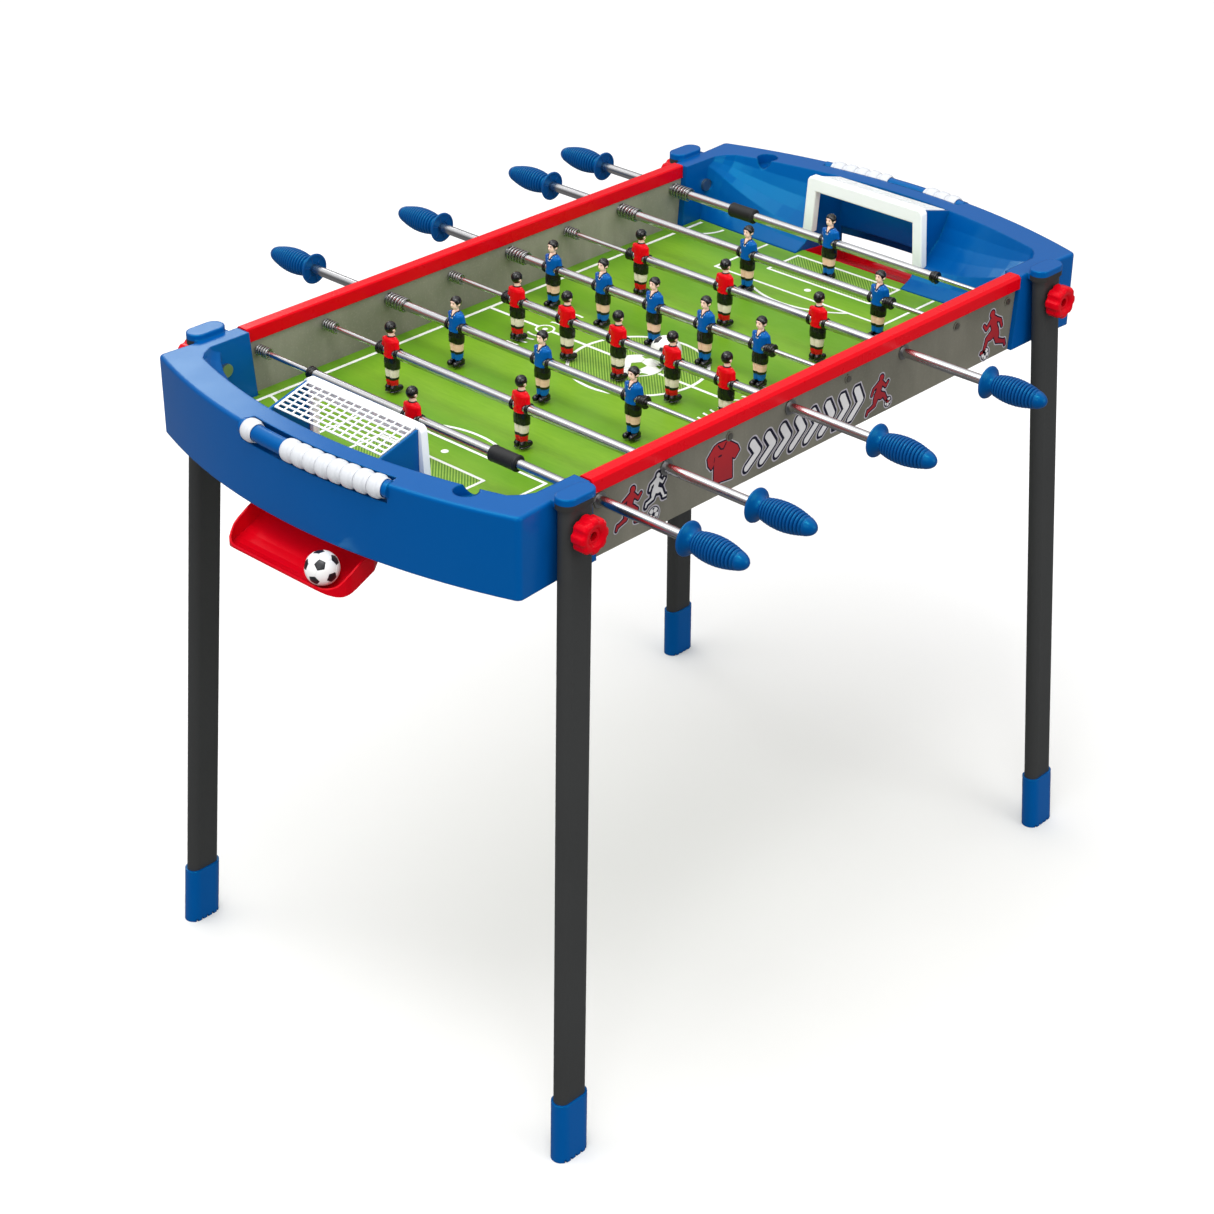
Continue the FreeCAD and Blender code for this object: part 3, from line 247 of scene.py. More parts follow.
def panel_material():
    """Warm grey foil, mottled like cast concrete, with long faint vertical smears."""
    mat = Material("grey_foil")
    cloud = mat.noise(scale=9.0, detail=6.0, rough=0.62, vector=mat.stretched(1.0, 1.0, 0.55))
    tone = mat.ramp(cloud, [(0.28, srgb(96, 95, 84)), (0.48, srgb(112, 110, 99)),
                            (0.70, srgb(130, 127, 115))])
    streak = mat.noise(scale=1.0, detail=5.0, rough=0.6, vector=mat.stretched(70.0, 70.0, 7.0))
    tone = mat.mix(mat.remap(streak, 0.0, 0.35), tone, srgb(100, 100, 88))
    speck = mat.noise(scale=420.0, detail=2.0)
    tone = mat.mix(mat.remap(speck, 0.0, 0.25, 0.55, 0.75), tone, srgb(142, 139, 128))
    # painted light: the inner faces are lightened to make up for the shade they get inside the table
    away = mat.math("ABSOLUTE", mat.axes(mat.position())["Y"])
    inner_painted_light = mat.remap(away, 1.55, 0.98, 0.2500, 0.2566)
    tone = mat.node("VectorMath", tone, operation="SCALE", Scale=inner_painted_light).outputs[0]
    mat.set(Base_Color=tone, Roughness=mat.remap(cloud, 0.38, 0.52), Specular_IOR_Level=0.2)
    mat.bump(mat.noise(scale=700.0, detail=3.0), strength=0.10, distance=0.0002)
    mat.bump(cloud, strength=0.04, distance=0.0008)


def pitch_material():
    """Printed grass: soft mown bands and fine blade streaks, with painted shade darkening it towards the walls."""
    mat = Material("printed_grass")
    axes = mat.axes(mat.coords)
    wobble = mat.math("SUBTRACT", mat.noise(scale=5.0, detail=3.0), 0.5)
    along = mat.math("ADD", axes["X"], mat.math("MULTIPLY", wobble, 0.05))
    band_pitch = 0.118
    band = mat.math("SINE", mat.math("MULTIPLY", along, 2 * math.pi / band_pitch))
    tone = mat.ramp(mat.step(band, -1.0, 1.0), [(0.18, srgb(98, 151, 22)),
                                                (0.82, srgb(122, 170, 36))])
    blades = mat.noise(scale=1.0, detail=5.0, rough=0.65,
                       vector=mat.stretched(260.0, 36.0, 100.0))
    tone = mat.mix(mat.remap(blades, 0.0, 0.40), tone, srgb(88, 142, 26))
    patch = mat.noise(scale=14.0, detail=4.0)
    tone = mat.mix(mat.remap(patch, 0.0, 0.30), tone, srgb(132, 174, 56))
    away_y = mat.math("ABSOLUTE", axes["Y"])
    away_x = mat.math("ABSOLUTE", axes["X"])
    # painted shade: the grass darkens towards the walls round it
    wall_painted_shade = mat.math("MAXIMUM", mat.remap(away_y, 0.0, 0.55, 0.195, 0.246),
                    mat.remap(away_x, 0.0, 0.35, 0.335, 0.385))
    mat.set(Base_Color=mat.mix(wall_painted_shade, tone, srgb(76, 132, 26)),
            Roughness=mat.remap(blades, 0.33, 0.42), Specular_IOR_Level=0.2)
    mat.bump(mat.noise(scale=900.0, detail=2.0), strength=0.05, distance=0.0002)


def print_ink(mat, tone, rough, specular):
    sheen = mat.noise(scale=60.0, detail=3.0)
    mat.set(Base_Color=tone, Roughness=mat.remap(sheen, rough - 0.04, rough + 0.06),
            Specular_IOR_Level=specular)
    mat.bump(mat.noise(scale=900.0, detail=2.0), strength=0.05, distance=0.0002)


def plain_ink(name, colour, rough, vary):
    """Printed ink with slight unevenness."""
    mat = Material(name)
    base = srgb(*colour)
    tone = mat.ramp(mat.noise(scale=160.0, detail=3.0),
                    [(0.35, scaled(base, 1 - vary)), (0.65, scaled(base, 1 + vary))])
    print_ink(mat, tone, rough, specular=0.2)


def red_ink():
    """Red ink of the panels, darker towards its foot."""
    mat = Material("print_red")
    rise = mat.step(mat.axes(mat.coords)["Z"], 0.668, 0.735)
    tone = mat.ramp(rise, [(0.0, srgb(138, 18, 32)), (1.0, srgb(176, 20, 30))])
    mottle = mat.remap(mat.noise(scale=150.0, detail=3.0), 0.0, 0.3)
    print_ink(mat, mat.mix(mottle, tone, srgb(152, 18, 30)), rough=0.40, specular=0.5)


def end_shell_material():
    """The blue of the ends; the band under each oval leg cap is the top of the graphite leg."""
    mat = plastic("blue_ends", **BLUE_MOULDED)
    position = mat.position()
    axes = mat.axes(position)
    leg_x = 0.3836
    off_leg = mat.math("SUBTRACT", mat.math("ABSOLUTE", axes["X"]), leg_x)
    off_leg = mat.math("ABSOLUTE", off_leg)
    away_y = mat.math("ABSOLUTE", axes["Y"])
    mask = mat.math("MULTIPLY", mat.step(off_leg, 0.0238, 0.0236),
                    mat.step(away_y, 0.2655, 0.2657))
    height = mat.math("MULTIPLY", mat.step(axes["Z"], 0.7546, 0.7543),
                      mat.step(axes["Z"], 0.7475, 0.7477))
    mask = mat.math("MULTIPLY", mask, height)
    tone = mat.ramp(mat.noise(scale=60.0, detail=2.0, vector=position),
                    [(0.0, srgb(44, 44, 43)), (1.0, srgb(50, 50, 49))])
    leg = mat.node("BsdfPrincipled", Base_Color=tone, Roughness=0.40, Specular_IOR_Level=0.25)
    mat.show(mat.mix_shader(mask, mat.bsdf.outputs[0], leg.outputs[0]))


BLUE_TINT = (0.04, 0.95, 1.0, 1.0)
RED_TINT = (1.0, 0.06, 0.10, 1.0)
BLUE_MOULDED = dict(colour=(0, 89, 170), rough=0.21, vary=0.02, grain=420.0, grain_strength=0.03,
                    specular=0.44, soft=0.0026, dim=0.76, tint=BLUE_TINT, coat=0.03)
# name, sRGB colour, roughness, tone variation, grain scale, grain strength, specular, extras
PLASTICS = [
    ("blue_grip", (0, 86, 166), 0.30, 0.03, 2600, 0.10, 0.42,
     dict(edge_light=0.10, dim=0.60, tint=BLUE_TINT, coat=0.03)),
    ("red_moulded", (226, 4, 26), 0.22, 0.03, 2000, 0.08, 0.36,
     dict(soft=0.0010, dim=0.80, tint=RED_TINT, coat=0.03)),
    ("red_rail", (228, 0, 22), 0.28, 0.02, 2400, 0.08, 0.30,
     dict(soft=0.0012, dim=0.82, tint=RED_TINT, coat=0.02)),
    ("white_moulded", (247, 249, 251), 0.34, 0.012, 2000, 0.10, 0.30, dict(soft=0.0008)),
    # a darker copy of the white plastic for the beads: painted shade that offsets the strong top light on them
    ("white_bead", (206, 209, 214), 0.32, 0.012, 2000, 0.08, 0.30, {}),
    ("black_moulded", (10, 10, 11), 0.20, 0.12, 1200, 0.05, 0.50, {}),
    ("black_rubber", (28, 28, 29), 0.50, 0.08, 1600, 0.20, 0.30, dict(edge_light=0.05)),
    ("graphite_coat", (54, 55, 55), 0.40, 0.05, 1700, 0.35, 0.25, dict(soft=0.0006)),
    ("bush_grey", (106, 104, 94), 0.45, 0.08, 2000, 0.12, 0.20, {}),
    ("figure_hair", (7, 6, 7), 0.17, 0.20, 1400, 0.05, 0.55, {}),
    ("figure_black", (7, 7, 8), 0.18, 0.20, 1400, 0.05, 0.55, {}),
    ("figure_skin", (255, 212, 194), 0.42, 0.04, 2600, 0.10, 0.30, {}),
    ("figure_legs", (255, 203, 180), 0.42, 0.05, 2600, 0.10, 0.30, {}),
    # a greyer copy of the leg skin for the red team, whose legs are seen from behind: painted shade
    ("figure_legs_cream", (238, 222, 206), 0.42, 0.05, 2600, 0.10, 0.30, {}),
    ("shirt_red", (214, 2, 18), 0.26, 0.06, 2600, 0.14, 0.35,
     dict(edge_light=0.05, tint=(1.0, 0.3, 0.3, 1.0))),
    ("shirt_blue", (0, 86, 172), 0.26, 0.06, 2600, 0.14, 0.40,
     dict(edge_light=0.06, dim=0.9, tint=(0.25, 0.9, 1.0, 1.0))),
    ("sock_red", (206, 6, 22), 0.32, 0.08, 2600, 0.16, 0.28, dict(edge_light=0.05)),
    ("sock_blue", (0, 98, 180), 0.32, 0.08, 2600, 0.16, 0.28, dict(edge_light=0.06)),
    ("figure_mouth", (206, 112, 96), 0.45, 0.05, 1800, 0.12, 0.50, {}),
    ("shirt_trim", (236, 240, 244), 0.40, 0.03, 1800, 0.12, 0.50, {}),
    ("ball_white", (240, 240, 238), 0.38, 0.015, 2200, 0.25, 0.50, dict(subsurface=0.04)),
    ("ball_black", (24, 26, 30), 0.34, 0.18, 2200, 0.25, 0.50, dict(edge_light=0.10)),
]
# name, sRGB colour, roughness, tone variation
INKS = [("line_ink", (246, 248, 242), 0.36, 0.01), ("tint_ink", (150, 188, 74), 0.40, 0.04),
        ("hatch_ink", (84, 132, 34), 0.40, 0.06), ("print_white", (206, 205, 206), 0.42, 0.02),
        ("print_navy", (18, 18, 40), 0.42, 0.10), ("print_silver", (172, 168, 176), 0.42, 0.05)]

plastic("blue_moulded", **BLUE_MOULDED)
for *look, extras in PLASTICS:
    plastic(*look, **extras)
metal("chromed_tube", (0.60, 0.60, 0.61), rough=0.24, streak=0.02, aged=0.02)
metal("zinc_plate", (0.36, 0.36, 0.36), rough=0.32, streak=0.10, aged=0.12)
metal("spring_wire_steel", (0.34, 0.34, 0.34), rough=0.24, streak=0.08, aged=0.12)
rod_material()
panel_material()
pitch_material()
for look in INKS:
    plain_ink(*look)
red_ink()
end_shell_material()


# =====================================================================
# mesh helpers
# =====================================================================
def build_mesh(name, verts, faces, ids, mats, angle=None, weld=None, scale=MM):
    """Smooth mesh; ids give each face's material, angle (degrees) its sharp edges."""
    mesh = bpy.data.meshes.new(name)
    verts = np.asarray(verts, float) * scale
    mesh.from_pydata([tuple(v) for v in verts], [], [tuple(int(i) for i in f) for f in faces])
    for mat in mats:
        mesh.materials.append(MATS[mat])
    if ids is not None:
        mesh.polygons.foreach_set("material_index", np.asarray(ids, np.int32))
    if weld:
        tidy(mesh, weld)
    mesh.polygons.foreach_set("use_smooth", np.full(len(mesh.polygons), True))
    if angle:
        mesh.set_sharp_from_angle(angle=math.radians(angle))
    mesh.validate()
    mesh.update()
    return mesh


def tidy(mesh, weld):
    """Welds close vertices and turns the normals outwards."""
    work = bmesh.new()
    work.from_mesh(mesh)
    bmesh.ops.remove_doubles(work, verts=work.verts, dist=weld)
    bmesh.ops.recalc_face_normals(work, faces=work.faces)
    work.to_mesh(mesh)
    work.free()


def piece(name, mesh, body, replaces=(), matrix=None):
    obj = bpy.data.objects.new(name, mesh)
    bpy.context.scene.collection.objects.link(obj)
    if matrix is not None:
        obj.matrix_world = matrix
    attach(obj, body)
    if replaces:
        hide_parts(*replaces)


def merge(parts):
    """[(verts, faces, material index)] as one verts, faces, ids."""
    all_verts, all_faces, ids, base = [], [], [], 0
    for verts, faces, index in parts:
        all_verts.append(np.asarray(verts, float))
        all_faces += [[i + base for i in face] for face in faces]
        ids += [index] * len(faces)
        base += len(verts)
    return np.vstack(all_verts), all_faces, ids


def band(first, second, count):
    """Quads between two closed rings of vertices that start at first and second."""
    quads = []
    for k in range(count):
        j = (k + 1) % count
        quads.append((first + k, first + j, second + j, second + k))
    return quads


def lathe(profile, seg, shape=None):
    """Closed solid of revolution about Z from (r, z) points: a closed loop, or axis to axis.
    shape(r, angles) may give changed radii for a ring."""
    angles = 2 * np.pi * np.arange(seg) / seg
    verts, rings, faces = [], [], []
    for r, z in profile:
        if r < 1e-9:
            rings.append([len(verts)])
            verts.append((0.0, 0.0, z))
        else:
            radii = np.full(seg, r) if shape is None else shape(r, angles)
            rings.append(list(range(len(verts), len(verts) + seg)))
            verts += [(radii[i] * math.cos(angles[i]), radii[i] * math.sin(angles[i]), z)
                      for i in range(seg)]
    closed = profile[0][0] > 1e-9
    count = len(rings)
    for k in range(count if closed else count - 1):
        low, high = rings[k], rings[(k + 1) % count]
        for i in range(seg):
            j = (i + 1) % seg
            if len(low) == 1:
                faces.append((low[0], high[j], high[i]))
            elif len(high) == 1:
                faces.append((low[i], low[j], high[0]))
            else:
                faces.append((low[i], low[j], high[j], high[i]))
    return np.array(verts), faces


def round_profile(points, radius, steps):
    """Rounds the corners of a closed (r, z) loop; radius is one number or one per point."""
    count = len(points)
    out = []
    for i in range(count):
        before, corner, after = (np.array(points[(i + d) % count], float) for d in (-1, 0, 1))
        reach = radius[i] if isinstance(radius, list) else radius
        back, ahead = before - corner, after - corner
        back_len, ahead_len = np.linalg.norm(back), np.linalg.norm(ahead)
        reach = min(reach, back_len * 0.45, ahead_len * 0.45)
        start, end = corner + back / back_len * reach, corner + ahead / ahead_len * reach
        for k in range(steps + 1):
            t = k / steps
            r, z = (1 - t) ** 2 * start + 2 * t * (1 - t) * corner + t * t * end
            out.append((float(r), float(z)))
    return out


# ------------------------------------------------ signed distances in space
def bar(pos, start, end, r_start, r_end=None):
    """Round bar between two points, tapering from r_start to r_end."""
    r_end = r_start if r_end is None else r_end
    start, end = np.array(start, float), np.array(end, float)
    way = end - start
    off = [pos[k] - start[k] for k in range(3)]
    t = (off[0] * way[0] + off[1] * way[1] + off[2] * way[2]) / float(way @ way)
    t = np.clip(t, 0, 1)
    gap = np.sqrt(sum((off[k] - t * way[k]) ** 2 for k in range(3)))
    return gap - (r_start + (r_end - r_start) * t)


def egg(pos, centre, radii):
    x, y, z = (pos[k] - centre[k] for k in range(3))
    near = np.sqrt((x / radii[0]) ** 2 + (y / radii[1]) ** 2 + (z / radii[2]) ** 2)
    slope = np.sqrt((x / radii[0] ** 2) ** 2 + (y / radii[1] ** 2) ** 2
                    + (z / radii[2] ** 2) ** 2) + 1e-9
    return near * (near - 1) / slope


def smin(a, b, soft):
    """Smooth union."""
    h = np.clip(0.5 + 0.5 * (b - a) / soft, 0, 1)
    return b + (a - b) * h - soft * h * (1 - h)


def smax(a, b, soft):
    """Smooth overlap; with a negated b it cuts b out of a."""
    return -smin(-a, -b, soft)


def mirror(pos):
    """Left and right halves alike: works with |y|."""
    return [pos[0], np.abs(pos[1]), pos[2]]


def stack(pos, table, power):
    """Upright body given by ovals: rows of (z, centre x, half depth, half width)."""
    heights, *columns = np.array(table, float).T
    x, y, z = pos
    centre, depth, width = (np.interp(z, heights, column) for column in columns)
    oval = (np.abs((x - centre) / depth) ** power + np.abs(y / width) ** power) ** (1 / power)
    side = (oval - 1) * np.minimum(depth, width)
    return smax(side, np.maximum(heights[0] - z, z - heights[-1]), 0.8)


def pair(table):
    """Two upright legs: rows of (z, centre x, half depth, half width, centre |y|)."""
    heights, *columns = np.array(table, float).T

    def field(pos):
        x, y, z = mirror(pos)
        centre, depth, width, spread = (np.interp(z, heights, column) for column in columns)
        oval = np.sqrt(((x - centre) / depth) ** 2 + ((y - spread) / width) ** 2)
        side = (oval - 1) * np.minimum(depth, width)
        return smax(side, np.maximum(heights[0] - z, z - heights[-1]), 0.5)
    return field


def surface_nets(field, low, high, cell):
    """Quads over the surface field = 0, settled onto it in two steps."""
    dims = [int(math.ceil((b - a) / cell)) + 1 for a, b in zip(low, high)]
    axes = [low[k] + cell * np.arange(dims[k]) for k in range(3)]
    values = field(np.meshgrid(*axes, indexing="ij"))
    values = np.where(np.abs(values) < 1e-7, 1e-7, values)
    cells = [count - 1 for count in dims]
    size = cells[0] * cells[1] * cells[2]

    def shifted(at, b, c, step_b, step_c):
        moved = at.copy()
        moved[:, b] += step_b
        moved[:, c] += step_c
        return moved

    def flat(at):
        return (at[:, 0] * cells[1] + at[:, 1]) * cells[2] + at[:, 2]

    total, hits, edges = np.zeros((size, 3)), np.zeros(size), []
    for a in range(3):
        lower, upper = [slice(None)] * 3, [slice(None)] * 3
        lower[a], upper[a] = slice(0, -1), slice(1, None)
        here, there = values[tuple(lower)], values[tuple(upper)]
        cross = (here < 0) != (there < 0)
        at = np.stack(np.nonzero(cross), 1)
        crossing = at.astype(float)
        crossing[:, a] += here[cross] / (here[cross] - there[cross])
        b, c = (a + 1) % 3, (a + 2) % 3
        edges.append((b, c, at, here[cross] < 0))
        for step_b in (0, -1):
            for step_c in (0, -1):
                near = shifted(at, b, c, step_b, step_c)
                ok = np.all((near >= 0) & (near < np.array(cells)), axis=1)
                where = flat(near[ok])
                for k in range(3):
                    total[:, k] += np.bincount(where, weights=crossing[ok, k], minlength=size)
                hits += np.bincount(where, minlength=size)
    used = np.nonzero(hits > 0)[0]
    number = np.full(size, -1)
    number[used] = np.arange(len(used))
    verts = total[used] / hits[used][:, None] * cell + np.array(low)
    faces = []
    for b, c, at, inside_low in edges:
        ok = (at[:, b] > 0) & (at[:, c] > 0) & (at[:, b] < dims[b] - 1) & (at[:, c] < dims[c] - 1)
        at, inside_low = at[ok], inside_low[ok]
        quads = np.stack([number[flat(shifted(at, b, c, *steps))]
                          for steps in ((-1, -1), (0, -1), (0, 0), (-1, 0))], 1)
        quads[~inside_low] = quads[~inside_low][:, ::-1]
        faces.append(quads)
    for _ in range(2):
        nudge = cell * 0.05
        pos = [verts[:, 0], verts[:, 1], verts[:, 2]]
        dist = field(pos)
        slope = np.zeros_like(verts)
        for k in range(3):
            moved = [column.copy() for column in pos]
            moved[k] += nudge
            slope[:, k] = (field(moved) - dist) / nudge
        step = -dist[:, None] * slope / np.maximum((slope * slope).sum(1)[:, None], 0.2)
        length = np.linalg.norm(step, axis=1)[:, None]
        verts = verts + step * np.minimum(1.0, 0.35 * cell / np.maximum(length, 1e-9))
    return verts, np.vstack(faces).tolist()


# ------------------------------------------------ flat printed shapes
# marching squares: for each corner case, the (from, to) cell edges the outline links
LINKS = {1: [(0, 3)], 2: [(1, 0)], 4: [(2, 1)], 8: [(3, 2)], 3: [(1, 3)], 6: [(2, 0)],
         12: [(3, 1)], 9: [(0, 2)], 5: [(0, 3), (2, 1)], 10: [(1, 0), (3, 2)], 7: [(2, 3)],
         11: [(1, 2)], 13: [(0, 1)], 14: [(3, 0)]}
# the four cell edges: runs along y?, x offset, y offset
CELL_EDGES = ((0, 0, 0), (1, 1, 0), (0, 0, 1), (1, 0, 0))


def outlines(field, x0, x1, y0, y1, cell, tol):
    """Closed outlines of field < 0 within a rectangle."""
    xs, ys = np.arange(x0, x1 + cell, cell), np.arange(y0, y1 + cell, cell)
    values = field(*np.meshgrid(xs, ys, indexing="ij"))
    values[0, :] = values[-1, :] = 1.0
    values[:, 0] = values[:, -1] = 1.0
    values = np.where(np.abs(values) < 1e-7, 1e-7, values)
    inside = values < 0
    case = inside[:-1, :-1] * 1 + inside[1:, :-1] * 2 + inside[1:, 1:] * 4 + inside[:-1, 1:] * 8
    link = {}

    def edge(i, j, k):
        upright, di, dj = CELL_EDGES[k]
        return (upright, i + di, j + dj)

    def crossing(upright, i, j):
        here, there = values[i, j], values[i + 1 - upright, j + upright]
        run = here / (here - there) * cell
        return (xs[i] + run * (1 - upright), ys[j] + run * upright)

    for i, j in np.argwhere((case > 0) & (case < 15)):
        i, j = int(i), int(j)
        for a, b in LINKS[int(case[i, j])]:
            link[edge(i, j, a)] = edge(i, j, b)
    loops = []
    while link:
        at, loop = next(iter(link)), []
        while at in link:
            loop.append(crossing(*at))
            at = link.pop(at)
        loop = thin_out(np.array(loop), tol)
        if len(loop) >= 3:
            loops.append(loop)
    return loops


def thin_out(points, tol):
    """Leaves out points that lie on the line between the ones kept."""
    count = len(points)
    if count < 5:
        return points
    keep, i = [0], 0
    while i < count - 1:
        j = i + 2
        while j < count and j - i < 60:
            start = points[i]
            way = points[j] - start
            off = points[i + 1:j] - start
            dist = np.abs(off[:, 0] * way[1] - off[:, 1] * way[0]) / (np.hypot(*way) + 1e-12)
            if dist.max() > tol:
                break
            j += 1
        i = j - 1
        if i < count - 1:
            keep.append(i)
    return points[keep]


def plate(name, loops, thick, matrix, mat):
    """Thin closed solid from flat outlines in millimetres; matrix takes it to the frame."""
    curve = bpy.data.curves.new(name + "_outline", "CURVE")
    curve.dimensions = "2D"
    curve.fill_mode = "BOTH"
    curve.extrude = thick / 2
    for loop in loops:
        spline = curve.splines.new("POLY")
        spline.points.add(len(loop) - 1)
        coords = np.zeros((len(loop), 4))
        coords[:, :2] = loop
        coords[:, 3] = 1
        spline.points.foreach_set("co", coords.ravel())
        spline.use_cyclic_u = True
    obj = bpy.data.objects.new(name + "_outline", curve)
    bpy.context.scene.collection.objects.link(obj)
    bpy.context.view_layer.update()
    graph = bpy.context.evaluated_depsgraph_get()
    mesh = bpy.data.meshes.new_from_object(obj.evaluated_get(graph))
    bpy.data.objects.remove(obj)
    tidy(mesh, 1e-4)
    mesh.transform(matrix)
    mesh.name = name
    mesh.materials.clear()
    mesh.materials.append(MATS[mat])
    mesh.polygons.foreach_set("use_smooth", np.full(len(mesh.polygons), False))
    mesh.update()
    return mesh


def union(*shapes):
    return np.minimum.reduce(shapes)


def overlap(*shapes):
    return np.maximum.reduce(shapes)


def bar2(x, y, start, end, r_start, r_end=None):
    r_end = r_start if r_end is None else r_end
    dx, dy = end[0] - start[0], end[1] - start[1]
    t = ((x - start[0]) * dx + (y - start[1]) * dy) / (dx * dx + dy * dy + 1e-12)
    t = np.clip(t, 0, 1)
    gap = np.hypot(x - start[0] - t * dx, y - start[1] - t * dy)
    return gap - (r_start + (r_end - r_start) * t)


def bars2(x, y, rows):
    """Bars from rows of (start, end, start radius, end radius)."""
    return union(*[bar2(x, y, *row) for row in rows])


def stroke2(x, y, points, half):
    return union(*[bar2(x, y, a, b, half) for a, b in zip(points, points[1:])])


def disc2(x, y, cx, cy, r):
    return np.hypot(x - cx, y - cy) - r


def ring2(x, y, cx, cy, r, half):
    return np.abs(disc2(x, y, cx, cy, r)) - half


def box2(x, y, x0, x1, y0, y1):
    out_x = np.abs(x - (x0 + x1) / 2) - (x1 - x0) / 2
    out_y = np.abs(y - (y0 + y1) / 2) - (y1 - y0) / 2
    outer = np.hypot(np.maximum(out_x, 0), np.maximum(out_y, 0))
    return outer + np.minimum(np.maximum(out_x, out_y), 0)


def polygon2(x, y, points):
    dist = np.full(x.shape, 1e18)
    sign = np.ones(x.shape)
    for i, (ax, ay) in enumerate(points):
        bx, by = points[i - 1]
        ex, ey = bx - ax, by - ay
        wx, wy = x - ax, y - ay
        t = np.clip((wx * ex + wy * ey) / (ex * ex + ey * ey + 1e-12), 0, 1)
        dist = np.minimum(dist, (wx - ex * t) ** 2 + (wy - ey * t) ** 2)
        above, below, left = y >= ay, y < by, ex * wy > ey * wx
        flip = (above & below & left) | (~above & ~below & ~left)
        sign = np.where(flip, -sign, sign)
    return sign * np.sqrt(dist)


def polar(cx, cy, r, angle):
    return (cx + r * math.cos(angle), cy + r * math.sin(angle))


def pentagon2(x, y, cx, cy, r, turn):
    return polygon2(x, y, [polar(cx, cy, r, turn + 2 * math.pi * i / 5) for i in range(5)])


# =====================================================================
# the players: one master mesh for each team, upright, facing +X, the rod's axis along Y at z = 0
# =====================================================================
# z, centre x, half depth, half width
TORSO = [(-5.2, 0.1, 7.5, 9.7), (-3.8, 0.1, 7.4, 9.6), (0.0, 0.0, 7.1, 9.2), (4.0, 0.0, 6.9, 9.0),
         (9.5, 0.0, 6.9, 9.4), (13.2, -0.2, 6.7, 9.7), (15.8, -0.4, 5.8, 8.2),
         (17.6, -0.4, 4.3, 5.2), (18.6, -0.3, 3.6, 3.8)]
SHORTS = [(-18.7, 0.25, 6.9, 9.7), (-17.6, 0.2, 7.1, 9.9), (-11.0, 0.1, 7.1, 9.9),
          (-5.5, 0.0, 6.5, 9.2), (-3.0, 0.0, 6.0, 8.6)]


def bore(pos, dist, soft=0.2):
    """The figure is moulded round the tube: the tube's bore runs through it."""
    return smax(dist, -(np.sqrt(pos[0] ** 2 + pos[2] ** 2) - 5.65), soft)


def head(pos):
    pos = mirror(pos)
    dist = egg(pos, (0.35, 0, 27.7), (5.75, 5.15, 6.3))
    dist = smin(dist, egg(pos, (1.5, 0, 24.2), (4.2, 3.9, 3.3)), 1.6)  # jaw
    dist = smin(dist, bar(pos, (5.7, 0, 28.4), (6.55, 0, 26.3), 0.45, 0.95), 0.7)  # nose
    dist = smin(dist, bar(pos, (5.5, 0.9, 29.7), (4.8, 3.0, 29.6), 0.75, 0.6), 0.8)  # brow
    dist = smax(dist, -egg(pos, (6.5, 2.0, 28.25), (1.1, 1.15, 0.75)), 0.5)  # eye socket
    dist = smin(dist, egg(pos, (-0.3, 5.35, 27.0), (1.35, 0.85, 1.95)), 0.35)  # ear
    dist = smax(dist, -egg(pos, (-0.2, 6.2, 27.2), (0.7, 0.5, 1.1)), 0.3)
    dist = smin(dist, bar(pos, (4.9, -1.2, 25.0), (4.9, 1.2, 25.0), 0.9), 0.7)  # lips
    return smin(dist, bar(pos, (-0.3, 0, 16.8), (0.0, 0, 23.4), 3.25, 2.95), 1.0)  # neck


def hair(pos):
    x, y, z = pos
    pos = mirror(pos)
    strands = np.sin(3.4 * y + 1.3 * np.sin(0.5 * x + 0.4 * z))
    dist = egg(pos, (-0.25, 0, 28.45), (6.75, 6.15, 6.75))
    dist = dist - 0.13 * strands * np.clip((z - 24) / 5, 0, 1)
    dist = smax(dist, -egg(pos, (9.2, 0, 25.4), (7.6, 7.4, 6.6)), 0.5)  # round the face
    dist = smax(dist, -bar(pos, (1.4, 7.0, 25.4), (-1.6, 7.0, 25.6), 2.5), 0.4)  # and the ears
    return smax(dist, (22.9 + 0.30 * x) - z, 0.5)


def brows_and_eyes(pos):
    pos = mirror(pos)
    return np.minimum(bar(pos, (5.95, 1.1, 29.75), (5.2, 3.1, 29.7), 0.38, 0.28),
                      egg(pos, (5.72, 1.95, 28.25), (0.42, 0.70, 0.40)))


def mouth(pos):
    return bar(pos, (5.62, -1.15, 24.75), (5.62, 1.15, 24.75), 0.34)


def shirt(pos):
    x, y, z = pos
    twin = mirror(pos)
    arm = bar(twin, (-0.5, 8.9, 13.2), (-1.0, 9.9, 7.0), 3.0, 2.7)
    arm = smin(arm, bar(twin, (-1.0, 9.9, 7.0), (0.2, 9.6, 0.6), 2.7, 2.5), 0.8)
    dist = smin(stack(pos, TORSO, 2.2), arm, 1.3)
    folds = (np.sin(1.25 * y + 0.55 * z) * np.sin(0.8 * z - 0.5 * np.abs(y) + 0.7)
             + 0.6 * np.sin(0.9 * z + 1.7 * x + 0.3 * y))
    dist = dist - 0.20 * folds * np.clip((10 - z) / 12, 0, 1)
    # crease between arm and chest
    dist = smax(dist, -bar(twin, (0.3, 8.0, 9.5), (2.8, 7.4, 3.8), 0.35, 0.5), 0.6)
    return bore(pos, smax(dist, -5.2 - z, 0.5))


